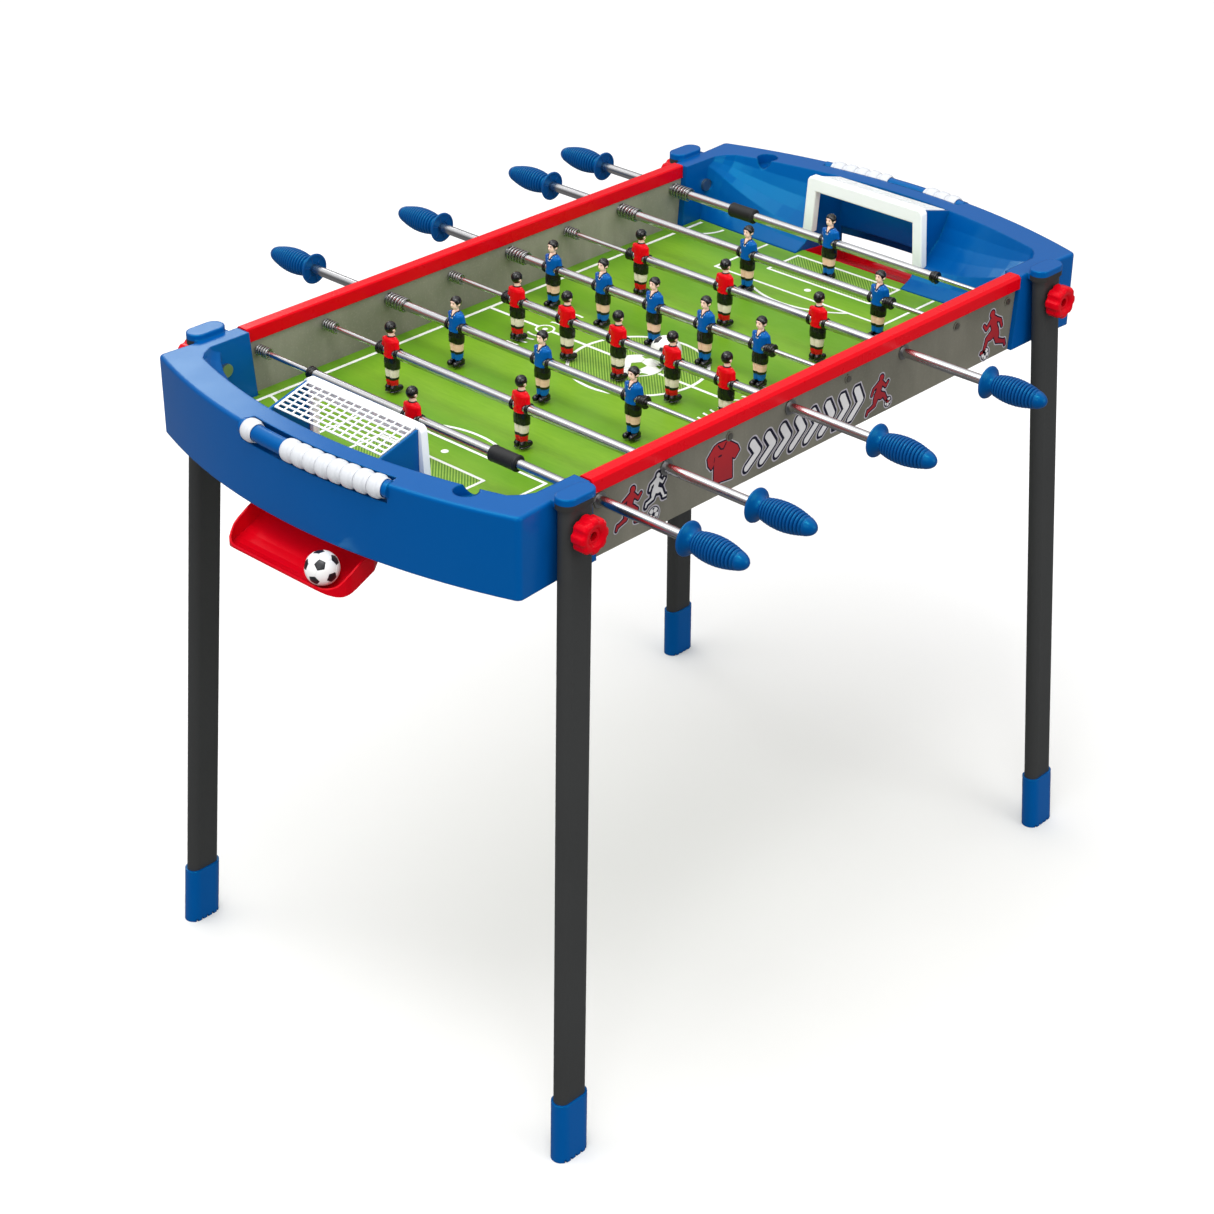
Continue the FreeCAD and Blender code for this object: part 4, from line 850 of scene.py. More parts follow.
def collar(pos):
    x, y, z = pos = mirror(pos)
    ring = np.sqrt((np.sqrt((x + 0.2) ** 2 + (y / 1.02) ** 2) - 3.75) ** 2
                   + ((z - 18.35 + 0.10 * x) * 0.75) ** 2) - 0.62
    ring = smax(ring, x - 2.3, 0.3)
    vee = np.minimum(bar(pos, (2.4, 3.0, 18.0), (5.15, 1.7, 15.5), 0.75, 0.72),
                     bar(pos, (5.15, 1.7, 15.5), (6.5, 0.15, 12.4), 0.72, 0.6))
    return smin(ring, vee, 0.3)


def collar_trim(pos):
    pos = mirror(pos)
    return np.minimum(bar(pos, (1.0, 5.2, 17.15), (4.95, 3.2, 15.3), 0.40),
                      bar(pos, (4.95, 3.2, 15.3), (6.75, 0.85, 11.4), 0.42, 0.36))


def chest(pos):
    return bar(pos, (2.9, 0, 18.2), (5.75, 0, 14.4), 2.25, 0.75)


def hands(pos):
    """A sleeve round the rod, kept only beside the trunk, with a grooved fist on each side."""
    x, y, z = pos = mirror(pos)
    dist = smax(np.sqrt(x ** 2 + z ** 2) - 6.9, y - 12.9, 1.4)
    fist = egg(pos, (3.2, 10.6, -0.4), (4.2, 2.5, 4.6))
    grooves = 0.22 * np.sin(z * 1.9 + 0.8) * np.clip((x - 1.0) / 3, 0, 1)
    dist = smin(dist, fist - grooves, 0.9)
    return bore(pos, smax(dist, 9.2 - y, 0.4), 0.4)


def shorts(pos):
    x, y, z = pos
    dist = stack(pos, SHORTS, 2.3)
    drop = np.clip((-9.0 - z) / 8, 0, 1)
    seam = np.sqrt(y ** 2 + 0.05) - 0.22 - 0.25 * drop
    depth = np.abs(x) - (6.5 - 0.9 * drop)
    dist = smax(dist, -smax(seam, -depth, 0.6), 0.7)
    folds = np.sin(0.9 * np.abs(y) + 0.75 * z + 0.6 * x)
    return bore(pos, dist - 0.14 * folds * drop)


thighs = pair([(-28.6, 0.0, 5.6, 4.65, 3.0), (-26.0, -0.1, 5.7, 4.75, 3.1),
               (-23.0, 0.0, 5.9, 5.0, 3.2), (-16.5, 0.1, 5.7, 4.9, 3.2)])
sock_bands = pair([(-31.4, -0.2, 5.8, 4.5, 2.95), (-29.8, -0.2, 6.0, 4.7, 3.0),
                   (-28.0, -0.1, 5.85, 4.65, 3.05)])
socks = pair([(-38.8, 0.0, 4.9, 3.7, 3.0), (-37.0, -0.1, 5.0, 3.85, 3.0),
              (-34.0, -0.5, 5.4, 4.2, 2.95), (-30.4, -0.25, 5.5, 4.3, 2.95)])


def shoes(pos):
    x, y, z = pos = mirror(pos)
    dist = bar(pos, (-3.6, 3.75, -41.6), (7.0, 4.35, -42.7), 3.45, 3.05)
    dist = smin(dist, bar(pos, (-1.2, 3.65, -38.9), (-1.0, 3.65, -41.0), 3.55, 3.6), 1.4)
    dist = smin(dist, egg(pos, (7.2, 4.4, -43.2), (3.2, 3.1, 2.3)), 1.0)  # toe
    sole = smax(np.hypot(x - 1.4, (y - 4.05) * 2.35) - 8.9, np.abs(z + 44.9) - 0.45, 0.35)
    dist = smin(dist, sole, 0.35)
    for k in range(3):  # laces
        lace_x, lace_z = 1.2 + 1.7 * k, -38.75 - 0.35 * k
        lace = bar(pos, (lace_x, 2.9, lace_z), (lace_x + 0.2, 4.9, lace_z), 0.42)
        dist = np.minimum(dist, lace)
    return smax(dist, -45.5 - z, 0.35)


# shape, lowest corner, highest corner, cell size, material index in build_player
FIGURE = [
    (shirt, (-9, -14, -6), (9, 14, 20), 0.62, 0),
    (shorts, (-9, -12, -20), (9, 12, -2), 0.66, 1),
    (hands, (-9, -14.5, -9), (10, 14.5, 9), 0.60, 1),
    (thighs, (-8, -10, -30), (8, 10, -15), 0.66, 2),
    (sock_bands, (-8, -10, -32), (8, 10, -27), 0.55, 1),
    (socks, (-8, -10, -40), (8, 10, -29), 0.62, 3),
    (shoes, (-9, -10, -47), (13, 10, -34), 0.60, 1),
    (head, (-8, -8, 15), (9, 8, 35), 0.55, 4),
    (hair, (-9, -8, 21), (8, 8, 37), 0.55, 5),
    (collar, (-6, -6, 11), (8, 6, 21), 0.36, 1),
    (chest, (-1, -4, 12), (8, 4, 22), 0.5, 4),
    (collar_trim, (-1, -7, 10), (8, 7, 19), 0.26, 6),
    (brows_and_eyes, (4, -5, 27), (7.5, 5, 31.5), 0.26, 5),
    (mouth, (4.5, -2.5, 23.5), (7, 2.5, 26), 0.26, 7)]
FIGURE_PARTS = merge([(*surface_nets(*spec), index) for *spec, index in FIGURE])


def build_player(team, legs):
    return build_mesh(team + "_figure", *FIGURE_PARTS,
                      ["shirt_" + team, "figure_black", legs, "sock_" + team, "figure_skin",
                       "figure_hair", "shirt_trim", "figure_mouth"])


# the red team's legs take the greyer copy of the leg skin, painted shade
PLAYER_MESH = {"red": build_player("red", "figure_legs_cream"),
               "blue": build_player("blue", "figure_legs")}


# =====================================================================
# players, end collars and stop sleeves on the rods
# =====================================================================
def facing(side, place):
    """Matrix at a place in metres whose local Z points to +Y or -Y by side."""
    z = Vector((0, side, 0))
    x = Vector((1, 0, 0))
    matrix = Matrix((x, z.cross(x), z)).transposed().to_4x4()
    matrix.translation = place
    return matrix


def along_rod(rod, start):
    """Local Z runs along the rod to its handle, from start millimetres off the middle."""
    return facing(SIDE[rod], Vector((ROD_X[rod] * MM, SIDE[rod] * start * MM, ROD_Z * MM)))


# (r, z) outlines
COLLAR = round_profile(
    [(3.25, 0.0), (6.3, 0.0), (7.3, 0.9), (7.3, 2.5), (6.1, 3.1), (6.1, 4.5), (7.0, 5.0),
     (7.0, 6.2), (6.2, 6.8), (6.2, 9.0), (5.62, 9.0), (5.62, 2.3), (3.25, 2.3)], 0.35, 2)
SLEEVE = round_profile(
    [(5.62, 0.0), (7.6, 0.0), (8.9, 1.1), (9.0, 3.2), (8.65, 3.8), (8.65, 33.6), (9.0, 34.2),
     (8.9, 36.3), (7.6, 37.4), (5.62, 37.4)], 0.5, 3)


def fluted(r, angles):
    """Twelve shallow flutes on the collar's widest rings."""
    return r + (0.16 if r > 6.6 else 0.0) * np.cos(12 * angles)


def rod_part(name, profile, seg, mat, rod, start, shape=None):
    mesh = build_mesh(name, *lathe(profile, seg, shape), None, [mat], angle=35.0, weld=1e-8)
    piece(name, mesh, "rod_%d_slider" % rod, matrix=along_rod(rod, start))


for rod in RODS:
    team = "red" if rod in RED_RODS else "blue"
    turn = Matrix.Rotation(0.0 if team == "red" else math.pi, 4, "Z")
    places = PLAYERS[rod]
    for k, place in enumerate(places, 1):
        spot = Matrix.Translation((ROD_X[rod] * MM, SIDE[rod] * place * MM, ROD_Z * MM))
        piece("rod_%d_player_%d" % (rod, k), PLAYER_MESH[team], "rod_%d_slider" % rod,
              ["rod_%d_players" % rod] if k == 1 else (), spot @ turn)
    lone = len(places) == 1
    start = min(places) - (157.0 if lone else 17.5) - 2.2
    rod_part("rod_%d_end_collar" % rod, COLLAR, 48, "black_moulded", rod, start, fluted)
    if lone:
        rod_part("rod_%d_stop_sleeve" % rod, SLEEVE, 56, "black_rubber", rod,
                 places[0] + 115.5)


# =====================================================================
# hand grips: flange, neck, ridged swell and domed end
# =====================================================================
RIDGES = 13
RIDGES_START, RIDGES_END = 12.4, 62.0
# share of the ridge pitch, depth below the swell
RIDGE = ((0.0, 2.7), (0.09, 1.75), (0.18, 0.75), (0.32, 0.12), (0.50, 0.0), (0.68, 0.12),
         (0.82, 0.75), (0.91, 1.75))
SWELL_Z = (9.4, 14.0, 20.0, 27.0, 34.0, 41.0, 48.0, 54.0, 59.0, 62.0)
SWELL_R = (10.6, 12.1, 13.5, 14.4, 14.7, 14.4, 13.5, 12.3, 11.0, 10.1)
# (r, z): the bore, flange and neck before the ridges, and the dome after them
GRIP_FOOT = [(0.0, 58.0), (5.5, 58.0), (5.5, 3.0), (5.6, 1.7), (8.0, 1.7), (8.3, 0.9),
             (15.2, 0.9), (15.5, 0.15), (17.2, 0.0), (17.9, 0.5), (18.0, 1.3), (17.6, 2.3),
             (15.4, 3.4), (12.6, 5.2), (10.9, 7.2), (9.9, 9.2), (9.7, 10.6), (10.4, 11.8)]
GRIP_DOME = [(9.2, 65.6), (8.3, 67.8), (7.2, 69.9), (5.9, 71.7), (4.4, 73.2), (2.4, 74.3),
             (0.0, 74.7)]


def grip_profile():
    profile = list(GRIP_FOOT)
    pitch = (RIDGES_END - RIDGES_START) / RIDGES
    for k in range(RIDGES):
        start = RIDGES_START + pitch * k
        crest = float(np.interp(start + pitch / 2, SWELL_Z, SWELL_R))
        profile += [(crest - depth, start + pitch * share) for share, depth in RIDGE]
    end = SWELL_R[-1]
    return profile + [(end - 1.5, 62.3), (end - 0.5, 62.9), (end - 0.35, 63.8)] + GRIP_DOME


def grip_mesh():
    parts = [(*lathe(grip_profile(), 64), 0)]
    box = [(0, 1, 3, 2), (4, 6, 7, 5), (0, 4, 5, 1), (2, 3, 7, 6), (0, 2, 6, 4), (1, 5, 7, 3)]
    for k in range(6):  # radial ribs in the flange's face
        angle = 2 * math.pi * k / 6 + 0.26
        cos, sin = math.cos(angle), math.sin(angle)
        corners = [(r * cos - side * sin, r * sin + side * cos, z)
                   for r in (7.6, 15.6) for side in (-0.55, 0.55) for z in (0.35, 1.4)]
        parts.append((corners, box, 0))
    return build_mesh("hand_grip", *merge(parts), ["blue_grip"], angle=50.0, weld=1e-8)


GRIP_MESH = grip_mesh()
for rod in RODS:
    piece("rod_%d_grip" % rod, GRIP_MESH, "rod_%d_slider" % rod,
          ["rod_%d_handle" % rod], along_rod(rod, FLANGE[rod]))


# =====================================================================
# springs on the rods
# =====================================================================
SPRING_END = 247.4


def tube_along(path, radius, seg):
    """Closed round bar along a 3-D polyline that doesn't set out along X."""
    count = len(path)
    tangents = np.gradient(path, axis=0)
    tangents /= np.linalg.norm(tangents, axis=1)[:, None]
    across = np.cross(tangents[0], (1.0, 0.0, 0.0))
    verts, faces = [], []
    for place, tangent in zip(path, tangents):
        across = across - tangent * (across @ tangent)
        across /= np.linalg.norm(across)
        other = np.cross(tangent, across)
        for angle in 2 * np.pi * np.arange(seg) / seg:
            verts.append(place + radius * (math.cos(angle) * across + math.sin(angle) * other))
    for i in range(count - 1):
        faces += band(i * seg, (i + 1) * seg, seg)
    tip, last = len(verts), (count - 1) * seg
    verts.append(path[0] - tangents[0] * radius * 0.35)
    verts.append(path[-1] + tangents[-1] * radius * 0.35)
    for k in range(seg):
        j = (k + 1) % seg
        faces += [(tip, j, k), (tip + 1, last + k, last + j)]
    return np.array(verts), faces


def spring(x, start, end, mean_r, wire_r, turns, hand):
    t = np.linspace(0, 1, int(turns * 26))
    rise = start + (end - start) * (0.04 + 0.92 * (t * t * (3 - 2 * t) * 0.25 + t * 0.75))
    angle = 2 * np.pi * turns * t
    path = np.stack([x + mean_r * np.cos(angle), rise, ROD_Z + hand * mean_r * np.sin(angle)], 1)
    return (*tube_along(path, wire_r, seg=8), 0)


coils = []
for rod in RODS:
    side, x = SIDE[rod], ROD_X[rod]
    coils.append(spring(x, side * 218.0, side * SPRING_END, mean_r=7.5, wire_r=1.15,
                        turns=6.2, hand=1))
    coils.append(spring(x, -side * 227.0, -side * SPRING_END, mean_r=5.6, wire_r=0.95,
                        turns=5.4, hand=-1))
piece("coil_springs", build_mesh("coil_springs", *merge(coils), ["spring_wire_steel"], weld=1e-8),
      "root", ["rod_springs"])


# =====================================================================
# leg knobs, with eight scallops in the rim
# =====================================================================
KNOB_R = 17.0
SCALLOP_AT, SCALLOP_R = 20.6, 5.4
FLAT_R = 11.0  # the scallops fade in beyond this radius
KNOB = round_profile(
    [(4.15, 0.0), (14.8, 0.0), (KNOB_R, 1.6), (KNOB_R, 11.6), (15.2, 13.6), (12.2, 14.0),
     (9.4, 13.4), (7.4, 11.6), (7.0, 10.9), (4.15, 10.9)],
    [0.2, 0.8, 1.0, 1.6, 1.4, 0.8, 0.8, 0.5, 0.2, 0.2], 3)


def scalloped(r, angles):
    if r < FLAT_R:
        return np.full(len(angles), r)
    rim = np.full(len(angles), KNOB_R)
    for i in range(8):
        turn = (angles - (i + 0.5) * math.pi / 4 + math.pi) % (2 * math.pi) - math.pi
        across = SCALLOP_AT * np.sin(turn)
        depth = np.sqrt(np.maximum(SCALLOP_R ** 2 - across ** 2, 0))
        inside = (np.abs(across) < SCALLOP_R) & (np.abs(turn) < 1)
        rim = np.where(inside, np.minimum(rim, SCALLOP_AT * np.cos(turn) - depth), rim)
    return r * (1 - (1 - rim / KNOB_R) * min(1.0, (r - FLAT_R) / 4.0))


knob_verts, knob_faces = lathe(KNOB, 128, scalloped)
KNOB_MESH = build_mesh("lobed_knob", knob_verts * np.array([1.12, 1.12, 1.30]), knob_faces, None,
                       ["red_moulded"], angle=50.0, weld=1e-8)
for where, end, side in (("front_left", -1, -1), ("front_right", 1, -1),
                         ("back_left", -1, 1), ("back_right", 1, 1)):
    place = Vector((end * 385.8, side * 284.6, 723.5)) * MM
    piece("knob_%s_grip" % where, KNOB_MESH, "knob_" + where, ["knob_" + where],
          facing(side, place))


# =====================================================================
# balls
# =====================================================================
BALL_R = 17.75
# how far each ring of a patch lies from its edge (0) to its middle (1)
PATCH_RINGS = (0.0, 0.022, 0.05, 0.10, 0.2, 0.34, 0.5, 0.66, 0.82)


def ball_patch(ring, index):
    """One patch of the ball with a shallow seam round it; ring holds its flat corners."""
    centre = np.mean(ring, axis=0)
    axis = centre / np.linalg.norm(centre)
    first = ring[0] - centre
    first /= np.linalg.norm(first)
    other = np.cross(axis, first)
    ring = sorted(ring, key=lambda q: math.atan2((q - centre) @ other, (q - centre) @ first))
    per_side = 8
    count = len(ring) * per_side
    verts, faces = [], []
    for inward in PATCH_RINGS:
        seam = 0.34 * math.exp(-(inward / 0.040) ** 2)
        for corner, following in zip(ring, ring[1:] + ring[:1]):
            for k in range(per_side):
                edge = corner + (following - corner) * (k / per_side)
                point = edge * (1 - inward) + centre * inward
                verts.append(point / np.linalg.norm(point) * (BALL_R - seam))
    last = (len(PATCH_RINGS) - 1) * count
    for start in range(0, last, count):
        faces += band(start, start + count, count)
    verts.append(axis * BALL_R)
    faces += [(last + k, last + (k + 1) % count, len(verts) - 1) for k in range(count)]
    return np.array(verts), faces, index


def football():
    """Twelve black pentagons and twenty white hexagons, cut from an icosahedron."""
    golden = (1 + 5 ** 0.5) / 2
    ico = np.array([p for a in (-1, 1) for b in (-golden, golden)
                    for p in ((0, a, b), (a, b, 0), (b, 0, a))], float)
    near = {i: [j for j in range(12) if j != i and np.linalg.norm(ico[i] - ico[j]) < 2.01]
            for i in range(12)}

    def third(a, b):
        return ico[a] + (ico[b] - ico[a]) / 3

    patches = [ball_patch([third(i, j) for j in near[i]], 1) for i in range(12)]
    for i in range(12):
        for j in near[i]:
            for k in near[i]:
                if i < j < k and k in near[j]:
                    pairs = ((i, j), (j, i), (j, k), (k, j), (k, i), (i, k))
                    patches.append(ball_patch([third(a, b) for a, b in pairs], 0))
    return build_mesh("football", *merge(patches), ["ball_white", "ball_black"], weld=2e-6)


BALL_MESH = football()
for node, place, (turn_x, turn_y, turn_z) in (
        ("ball", (-512.6, -53.0, 646.25), (0.35, 0.15, 0.5)),
        ("match_ball", (18.0, -26.5, 697.75), (0.9, -0.5, 1.1))):
    if node in NODES:  # the frame may hold only one of the balls
        matrix = (Matrix.Translation(Vector(place) * MM) @ Matrix.Rotation(turn_z, 4, "Z")
                  @ Matrix.Rotation(turn_y, 4, "Y") @ Matrix.Rotation(turn_x, 4, "X"))
        piece(node + "_football", BALL_MESH, BODY_OF[node], [node], matrix)


# =====================================================================
# score beads on their curved bars
# =====================================================================
BEAD = round_profile(
    [(9.4, -8.15), (10.15, -8.15), (10.15, -4.6), (12.2, -2.4), (12.2, 4.8), (10.4, 8.15),
     (9.4, 8.15)], [0.1, 0.2, 1.0, 1.2, 1.6, 0.4, 0.1], 4)
BAR_R, BAR_X, BAR_Z = 755.5, -261.0, 747.5  # the right bar's arc: radius and centre
BEAD_PITCH = 16.6
# y of the first bead, count
BEAD_RUNS = {"right_a": (41.6, 5), "right_b": (-62.6, 3), "left_a": (-3.9, 8),
             "left_b": (-67.0, 1)}


def bead_shape():
    """A clip round the bar, from low on the outside over the top to the other side, with a
    small tooth at each end."""
    seg, count = 64, len(BEAD)
    start, end = math.radians(-78), math.radians(168)
    verts, faces = [], []
    for angle in np.linspace(start, end, seg):
        to_end = min(angle - start, end - angle)
        for r, z in BEAD:
            if r > 10.0:
                r += (1.3 * max(0.0, 1 - to_end / math.radians(11))
                      * max(0.0, 1 - abs(z - 1.4) / 4.2))
            verts.append((r * math.cos(angle), r * math.sin(angle), z))
    for i in range(seg - 1):
        faces += band(i * count, (i + 1) * count, count)
    faces.append(tuple(range(count)))
    faces.append(tuple((seg - 1) * count + k for k in reversed(range(count))))
    return np.array(verts) * MM, faces


bead_verts, bead_faces = bead_shape()
STAND = Matrix(((1, 0, 0, 0), (0, 0, -1, 0), (0, 1, 0, 0), (0, 0, 0, 1)))
for run, (first, count) in BEAD_RUNS.items():
    parts = []
    for i in range(count):
        y = first + BEAD_PITCH * i
        angle = math.asin(y / BAR_R)
        place = (BAR_X * MM + BAR_R * MM * math.cos(angle), y * MM, BAR_Z * MM)
        matrix = Matrix.Translation(place) @ Matrix.Rotation(angle, 4, "Z") @ STAND
        if run.startswith("left"):
            matrix = Matrix.Rotation(math.pi, 4, "Z") @ matrix
        parts.append((np.array([matrix @ Vector(v) for v in bead_verts]), bead_faces, 0))
    mesh = build_mesh("score_clips_" + run, *merge(parts), ["white_bead"], angle=40.0,
                      weld=1e-8, scale=1.0)
    piece("score_clips_" + run, mesh, "score_beads_" + run,
          ["score_beads_" + run])


# =====================================================================
# printed lines on the pitch
# =====================================================================
PITCH_X, PITCH_Y = -3.0, -4.0  # centre of the print
BOARD_Z = 680.0
HALF_WIDTH = 234.0
SPOT_Y = 144.0  # ring and arcs on the halfway line
SPOKES = [math.pi / 2 + 2 * math.pi * k / 5 for k in range(5)]


def centre_ball(x, y):
    """Football in the centre circle."""
    rim, seams = [], []
    for angle in SPOKES:
        rim.append(pentagon2(x, y, *polar(0, 0, 27.0, angle), 7.2, angle + math.pi))
        seams.append(bar2(x, y, polar(0, 0, 10.5, angle), polar(0, 0, 18.0, angle), 0.35))
    rim = overlap(union(*rim), disc2(x, y, 0, 0, 26.6))
    dark = union(pentagon2(x, y, 0, 0, 10.0, math.pi / 2), rim)
    return overlap(disc2(x, y, 0, 0, 29.0), -dark, -union(*seams))


def field_lines(x, y):
    x, y = x - PITCH_X, y - PITCH_Y
    far_x, far_y = np.abs(x), np.abs(y)
    lines = union(
        overlap(np.abs(far_y - HALF_WIDTH) - 2.2, far_x - 373.0),  # long sides
        overlap(far_x - 2.0, far_y - HALF_WIDTH),  # halfway line
        ring2(x, y, 0, 0, 78.5, 2.0),
        np.abs(box2(far_x, y, 315.0, 372.0, -77.0, 77.0)) - 1.8,  # goal boxes
        overlap(np.abs(box2(far_x, y, 276.0, 500.0, -127.0, 127.0)) - 1.8, far_x - 374.0),
        overlap(ring2(far_x, y, 359.0, 0, 113.5, 1.8), far_x - 276.0),
        disc2(far_x, y, 296.0, 0, 4.2),  # penalty spots
        overlap(ring2(far_x, far_y, 371.0, HALF_WIDTH, 37.0, 1.8), far_x - 372.0,
                far_y - HALF_WIDTH))  # corner arcs
    lines = np.where(np.hypot(x, y) < 31.0, centre_ball(x, y), lines)
    # a ring between short arcs on the halfway line, each side of the centre circle
    off_spot = far_y - SPOT_Y
    reach = np.hypot(x, off_spot)
    marks = [overlap(np.abs(reach - r) - 1.5, np.abs(off_spot) - tall)
             for r, tall in ((21.0, 9.0), (32.0, 11.5), (43.0, 11.5), (54.0, 9.0))]
    return union(overlap(lines, 10.0 - reach), np.abs(reach - 10.5) - 1.2, reach - 3.2, *marks)


def tint(x, y):
    """Inside of the centre circle without its ball, and of the two goal boxes."""
    x, y = x - PITCH_X, y - PITCH_Y
    reach = np.hypot(x, y)
    return union(overlap(reach - 77.3, 29.6 - reach),
                 box2(np.abs(x), y, 316.0, 371.0, -76.0, 76.0))


def hatch(x, y):
    """Diagonal lines, 3 mm apart, over the tint."""
    across = ((x - PITCH_X) - (y - PITCH_Y)) / math.sqrt(2)
    return overlap(tint(x, y), np.abs((across / 3.0) % 1.0 - 0.5) * 3.0 - 0.75)


TINTED = (-382, 376, -84, 78)
# name, shape, x and y range, cell, tolerance, height over the board, thickness, ink
for name, field, extent, cell, tol, base, thick, mat in (
        ("pitch_tint", tint, TINTED, 1.0, 0.03, 0.0, 0.12, "tint_ink"),
        ("pitch_hatch", hatch, TINTED, 0.45, 0.02, 0.12, 0.10, "hatch_ink"),
        ("pitch_lines", field_lines, (-380, 374, -241, 233), 0.7, 0.03, 0.20, 0.12, "line_ink")):
    lift = Matrix.Translation((0, 0, (BOARD_Z + base + thick / 2) * MM))
    mesh = plate(name, outlines(field, *extent, cell, tol), thick,
                 lift @ Matrix.Scale(MM, 4), mat)
    piece(name, mesh, "root")


# =====================================================================
# printed pictograms on the side panels, drawn in x and z
# =====================================================================
PANEL_Y = 257.0
# a running player of height 1: start, end, start radius, end radius
TRUNK = [((0.05, 0.74), (-0.03, 0.50), 0.105, 0.085)]
ARMS = [((0.13, 0.76), (0.27, 0.62), 0.040, 0.034), ((0.27, 0.62), (0.36, 0.72), 0.034, 0.028),
        ((-0.03, 0.76), (-0.20, 0.68), 0.042, 0.034),
        ((-0.20, 0.68), (-0.26, 0.54), 0.034, 0.028)]
TRAILING_LEG = [((-0.06, 0.47), (-0.13, 0.25), 0.075, 0.052),
                ((-0.13, 0.25), (-0.36, 0.17), 0.048, 0.034),
                ((-0.38, 0.18), (-0.42, 0.08), 0.034, 0.028)]
RUNNER_SHORTS = [((-0.03, 0.49), (0.10, 0.42), 0.095, 0.085),
                 ((-0.05, 0.49), (-0.10, 0.38), 0.095, 0.080)]
JERSEY = [(-142, 722), (-148, 725), (-160, 725.5), (-166, 724), (-176, 714), (-174.5, 706),
          (-170, 700.5), (-165.5, 705.5), (-165.2, 683), (-137.2, 680), (-138.4, 704),
          (-133.5, 701), (-127, 707.5), (-130.5, 714)]


def runner(x, y, foot_x, foot_y, height, way=1.0, kick=0.0):
    """A running player; way -1 mirrors it, kick raises the leading foot."""
    x, y = (x - foot_x) / height * way, (y - foot_y) / height
    skull = union(disc2(x, y, 0.10, 0.90, 0.075), bar2(x, y, (0.07, 0.80), (0.05, 0.84), 0.03))
    knee = (0.22, 0.36 + 0.05 * kick)
    swing = 0.16 * kick
    legs = bars2(x, y, [((0.02, 0.47), knee, 0.075, 0.055),
                        (knee, (0.20 + swing, 0.12 + 0.08 * kick), 0.052, 0.036),
                        ((0.19 + swing, 0.09 + 0.08 * kick), (0.30 + swing, 0.07 + 0.10 * kick),
                         0.034, 0.030)] + TRAILING_LEG)
    upper = smin(bars2(x, y, TRUNK), bars2(x, y, ARMS), 0.03)
    lower = smin(legs, bars2(x, y, RUNNER_SHORTS), 0.04)
    return union(skull, smin(upper, lower, 0.03)) * height


def printed_ball(x, y, cx, cy, r):
    """A football's disc and its dark patches and seams."""
    dark = [pentagon2(x, y, cx, cy, r * 0.36, math.pi / 2)]
    for angle in SPOKES:
        dark.append(pentagon2(x, y, *polar(cx, cy, r * 0.93, angle), r * 0.30, angle + math.pi))
        dark.append(bar2(x, y, polar(cx, cy, r * 0.34, angle), polar(cx, cy, r * 0.70, angle),
                         r * 0.045))
    return disc2(x, y, cx, cy, r), overlap(union(*dark), disc2(x, y, cx, cy, r * 0.93))


def arrows(x, y):
    """A row of slanted arrow strokes that grow to the right."""
    middle = 695.0
    slanted = x - (y - middle) * 0.30
    strokes = []
    for i in range(8):
        start, half = -110.0 + 24.2 * i, 12.5 + 0.55 * i
        points = [(start, middle - half), (start + 13.0, middle), (start, middle + half)]
        strokes.append(stroke2(slanted, y, points, 4.1))
    return overlap(union(*strokes), np.abs(y - middle) - 18.5)


def artwork(x, y):
    """Distances to the red shapes, the pale shapes, the balls and the balls' dark parts."""
    red = union(runner(x, y, -291.0, 681.0, 45.0),
                runner(x, y, 103.0, 669.5, 45.0, kick=1.0),
                runner(x, y, 313.0, 671.0, 56.0, way=-1.0, kick=0.6),
                polygon2(x, y, JERSEY) - 0.4)
    pale = union(runner(x, y, -253.0, 692.0, 35.0, kick=0.8), arrows(x, y))
    balls, dark = zip(*[printed_ball(x, y, *ball) for ball in (
        (-256.0, 682.5, 7.6), (299.0, 675.5, 6.6), (121.0, 677.0, 5.2))])
    # the jersey's pale collar and side marks, cut out of the red
    trim = union(stroke2(x, y, [(-160, 723.5), (-156, 718.5), (-152, 717.5), (-148, 723)], 0.9),
                 bar2(x, y, (-158.5, 711.0), (-155.0, 711.0), 1.1),
                 bar2(x, y, (-166.0, 706.5), (-165.0, 712.0), 0.5))
    return overlap(red, -trim), pale, union(*balls), union(*dark)


# name, shape, height over the panel, thickness, ink
LAYERS = [
    ("halo", lambda red, pale, balls, dark: union(red - 2.7, pale - 4.2, balls - 2.6),
     0.0, 0.10, "print_silver"),
    ("outline", lambda red, pale, balls, dark: union(red - 1.5, pale - 2.8, balls - 1.3),
     0.10, 0.08, "print_navy"),
    ("red", lambda red, pale, balls, dark: red, 0.18, 0.08, "print_red"),
    ("white", lambda red, pale, balls, dark: union(pale, overlap(balls, -dark)),
     0.18, 0.08, "print_white")]
ART_SPANS = [(-326.0, -236.0), (-184.0, 140.0), (276.0, 346.0)]


def layer_outlines(shape):
    loops = []
    for x0, x1 in ART_SPANS:
        loops += outlines(lambda x, y: shape(*artwork(x, y)), x0, x1, 661.0, 735.0, 0.45, 0.04)
    return loops


ART_LOOPS = {name: layer_outlines(shape) for name, shape, *_ in LAYERS}
# sign of the drawing's x on each panel; each faces outwards
for side, way in (("front", 1), ("back", -1)):
    stand = Matrix(((way, 0, 0, 0), (0, 0, -way, -way * PANEL_Y), (0, 1, 0, 0), (0, 0, 0, 1)))
    for name, _, base, thick, mat in LAYERS:
        lift = Matrix.Translation((0, 0, base + thick / 2))
        full_name = "panel_%s_%s" % (side, name)
        mesh = plate(full_name, ART_LOOPS[name], thick, Matrix.Scale(MM, 4) @ stand @ lift, mat)
        piece(full_name, mesh, "root")


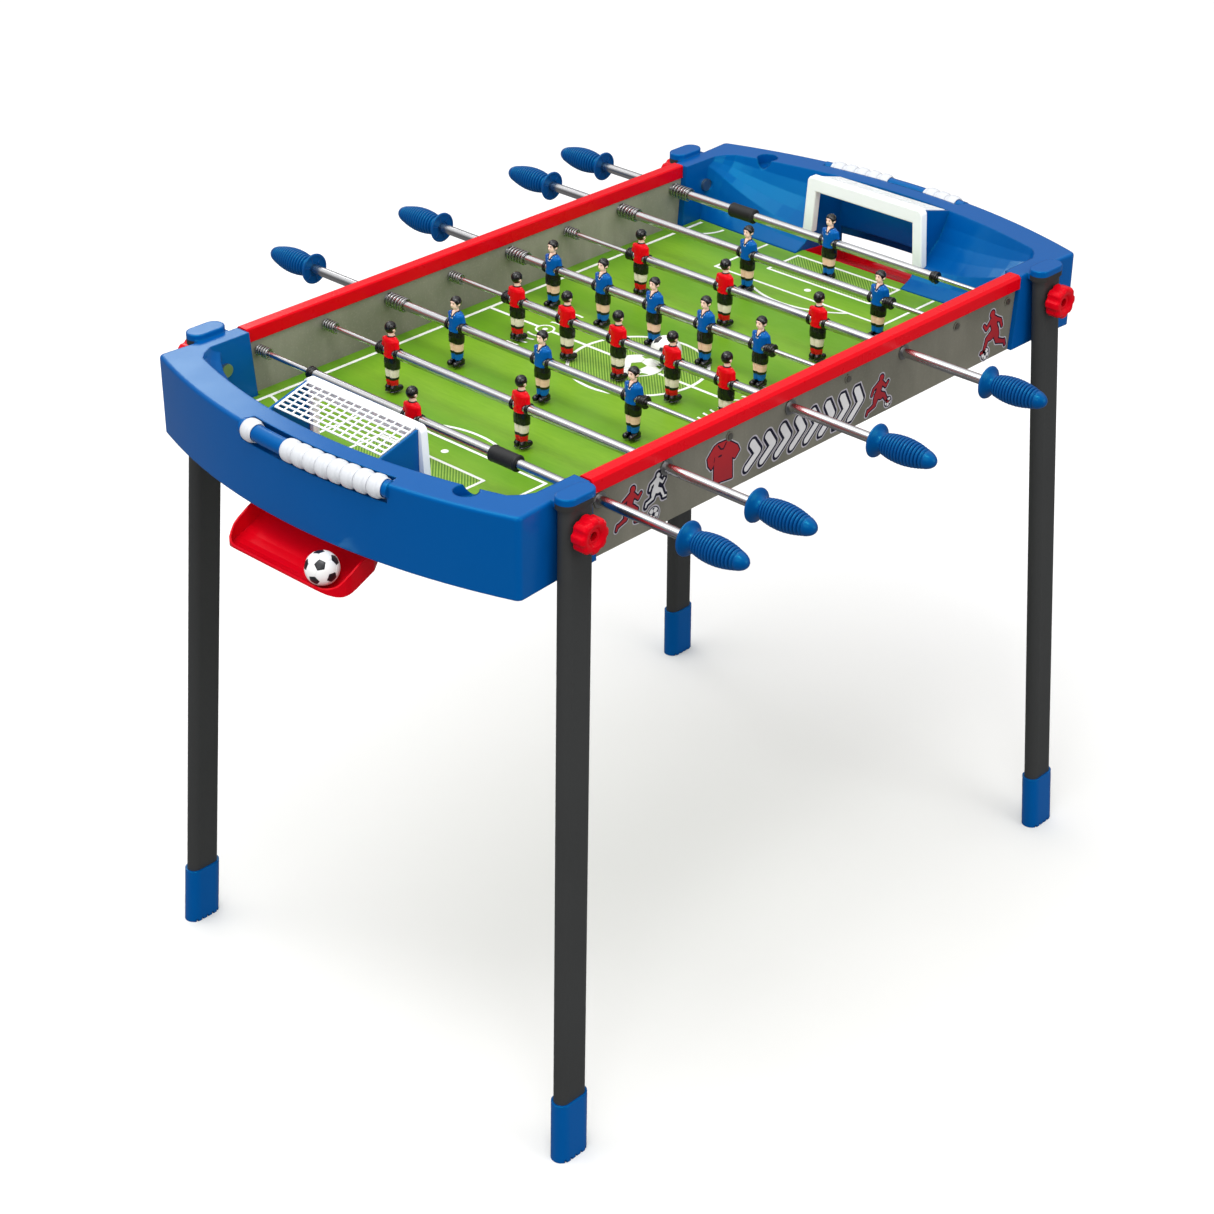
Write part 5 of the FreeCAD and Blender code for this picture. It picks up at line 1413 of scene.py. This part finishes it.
# =====================================================================
# materials of the CAD nodes that stay
# =====================================================================
FINISH = {"printed_grass": ["playfield"],
          "grey_foil": ["side_panel_front", "side_panel_back"],
          "red_rail": ["side_rail_front", "side_rail_back"],
          "blue_ends": ["end_shell_left", "end_shell_right"],
          "white_moulded": ["goal_left", "goal_right"],
          "red_moulded": ["ball_tray_left", "ball_tray_right"],
          "graphite_coat": ["legs"],
          "blue_moulded": ["foot_cups"],
          "zinc_plate": ["leg_bolts", "tube_bushings"],
          "bush_grey": ["core_bushings"],
          "chromed_tube": ["rod_%d_tube" % rod for rod in RODS],
          "chromed_core": ["rod_%d_inner_rod" % rod for rod in RODS]}
for mat, names in FINISH.items():
    for name in names:
        obj = NODES[name]
        if not obj.material_slots:
            obj.data.materials.append(MATS[mat])
        for material_slot in obj.material_slots:
            material_slot.material = MATS[mat]


# =====================================================================
# floor, light, camera
# =====================================================================
def floor_material():
    """Pale floor with a painted shadow darkening it round the table; its bounce is held back so that the table's
    undersides keep their depth.
    """
    mat = Material("studio_floor")
    # painted shadow: the floor is darker near the table's foot and pales further off
    table_foot = (0.05, -0.10, 0.0)
    away = mat.node("VectorMath", mat.position(), table_foot, operation="DISTANCE")
    clear_of_painted_shadow = mat.step(away.outputs["Value"], 0.35, 1.5)

    def cloudy(detail, dark, light):
        return mat.ramp(mat.noise(scale=1.5, detail=detail), [(0.3, dark), (0.7, light)])

    pale = cloudy(3.0, (0.93, 0.93, 0.94, 1), (0.95, 0.95, 0.955, 1))
    mat.set(Base_Color=mat.mix(clear_of_painted_shadow, (0.80, 0.795, 0.785, 1.0), pale),
            Roughness=mat.remap(mat.noise(scale=3.0, detail=3.0), 0.55, 0.65),
            Specular_IOR_Level=0.1, Emission_Color=(1.0, 1.0, 1.0, 1.0), Emission_Strength=0.06)
    bounce = mat.node("BsdfDiffuse", cloudy(2.0, (0.36, 0.36, 0.36, 1), (0.38, 0.38, 0.38, 1)))
    mirrored = mat.node("BsdfDiffuse", cloudy(2.0, (0.13, 0.13, 0.13, 1), (0.15, 0.15, 0.15, 1)))
    ray = mat.node("LightPath").outputs
    unseen = mat.mix_shader(ray["Is Glossy Ray"], bounce.outputs[0], mirrored.outputs[0])
    mat.show(mat.mix_shader(ray["Is Camera Ray"], unseen, mat.bsdf.outputs[0]))


floor_material()
FLOOR_HALF = 30.0
floor_mesh = bpy.data.meshes.new("studio_floor")
floor_mesh.from_pydata([(x * FLOOR_HALF, y * FLOOR_HALF, 0)
                        for x, y in ((-1, -1), (1, -1), (1, 1), (-1, 1))], [], [(0, 1, 2, 3)])
floor_mesh.materials.append(MATS["studio_floor"])
floor = bpy.data.objects.new("studio_floor", floor_mesh)
bpy.context.scene.collection.objects.link(floor)


def build_world():
    """Even white light; reflections see a room that brightens upwards."""
    world = bpy.data.worlds.new("studio")
    world.use_nodes = True
    nodes = Nodes(world.node_tree)
    out = nodes.node("OutputWorld")
    even = nodes.node("Background", Color=(1.0, 1.0, 1.0, 1.0), Strength=0.95)
    height = nodes.axes(nodes.node("TexCoord").outputs["Generated"])["Z"]
    sky = nodes.ramp(height, [(0.12, (0.10, 0.10, 0.10, 1.0)), (0.42, (0.30, 0.30, 0.31, 1.0)),
                              (0.80, (1.0, 1.0, 1.0, 1.0))])
    room = nodes.node("Background", Color=sky, Strength=1.35)
    glossy = nodes.node("LightPath").outputs["Is Glossy Ray"]
    nodes.feed(out.inputs["Surface"],
               nodes.mix_shader(glossy, even.outputs[0], room.outputs[0]))
    bpy.context.scene.world = world


def softbox(name, place, target, size, power):
    light = bpy.data.lights.new(name, "AREA")
    light.shape = "RECTANGLE"
    light.size = size
    light.size_y = size
    light.energy = power
    obj = bpy.data.objects.new(name, light)
    obj.location = place
    obj.rotation_mode = "QUATERNION"
    obj.rotation_quaternion = (Vector(target) - Vector(place)).to_track_quat("-Z", "Y")
    obj.visible_camera = False
    bpy.context.scene.collection.objects.link(obj)


def build_camera():
    data = bpy.data.cameras.new("camera")
    data.lens = 76.62
    data.sensor_width = 36.0
    data.clip_start = 0.05
    data.clip_end = 200.0
    camera = bpy.data.objects.new("camera", data)
    bpy.context.scene.collection.objects.link(camera)
    view = Vector((0.6344, 0.5912, -0.4979)).normalized()
    right = view.cross(Vector((0, 0, 1))).normalized()
    up = right.cross(view)
    roll = math.radians(0.4)
    rolled_right = math.cos(roll) * right + math.sin(roll) * up
    rolled_up = -math.sin(roll) * right + math.cos(roll) * up
    matrix = Matrix((rolled_right, rolled_up, -view)).transposed().to_4x4()
    matrix.translation = Vector((-1.94066, -1.76531, 1.87444))
    camera.matrix_world = matrix
    bpy.context.scene.camera = camera


build_world()
# name, place, target, side length, power
for light_spec in (
        ("key_softbox", (-1.07, -0.98, 3.55), (0, 0, 0.7), 0.8, 25.0),
        ("back_softbox", (0.76, 2.15, 1.86), (-0.5, 0.15, 0.75), 0.7, 4.6),
        ("top_softbox", (-0.9, 0.5, 3.2), (0, 0, 0.7), 2.2, 32.0),
        ("left_softbox", (-3.2, -1.2, 2.4), (0, 0, 0.7), 1.8, 18.0),
        ("front_softbox", (0.6, -3.4, 1.8), (0, 0, 0.6), 1.8, 24.0)):
    softbox(*light_spec)
build_camera()
bpy.context.scene.view_settings.view_transform = "Standard"
bpy.context.scene.view_settings.look = "None"
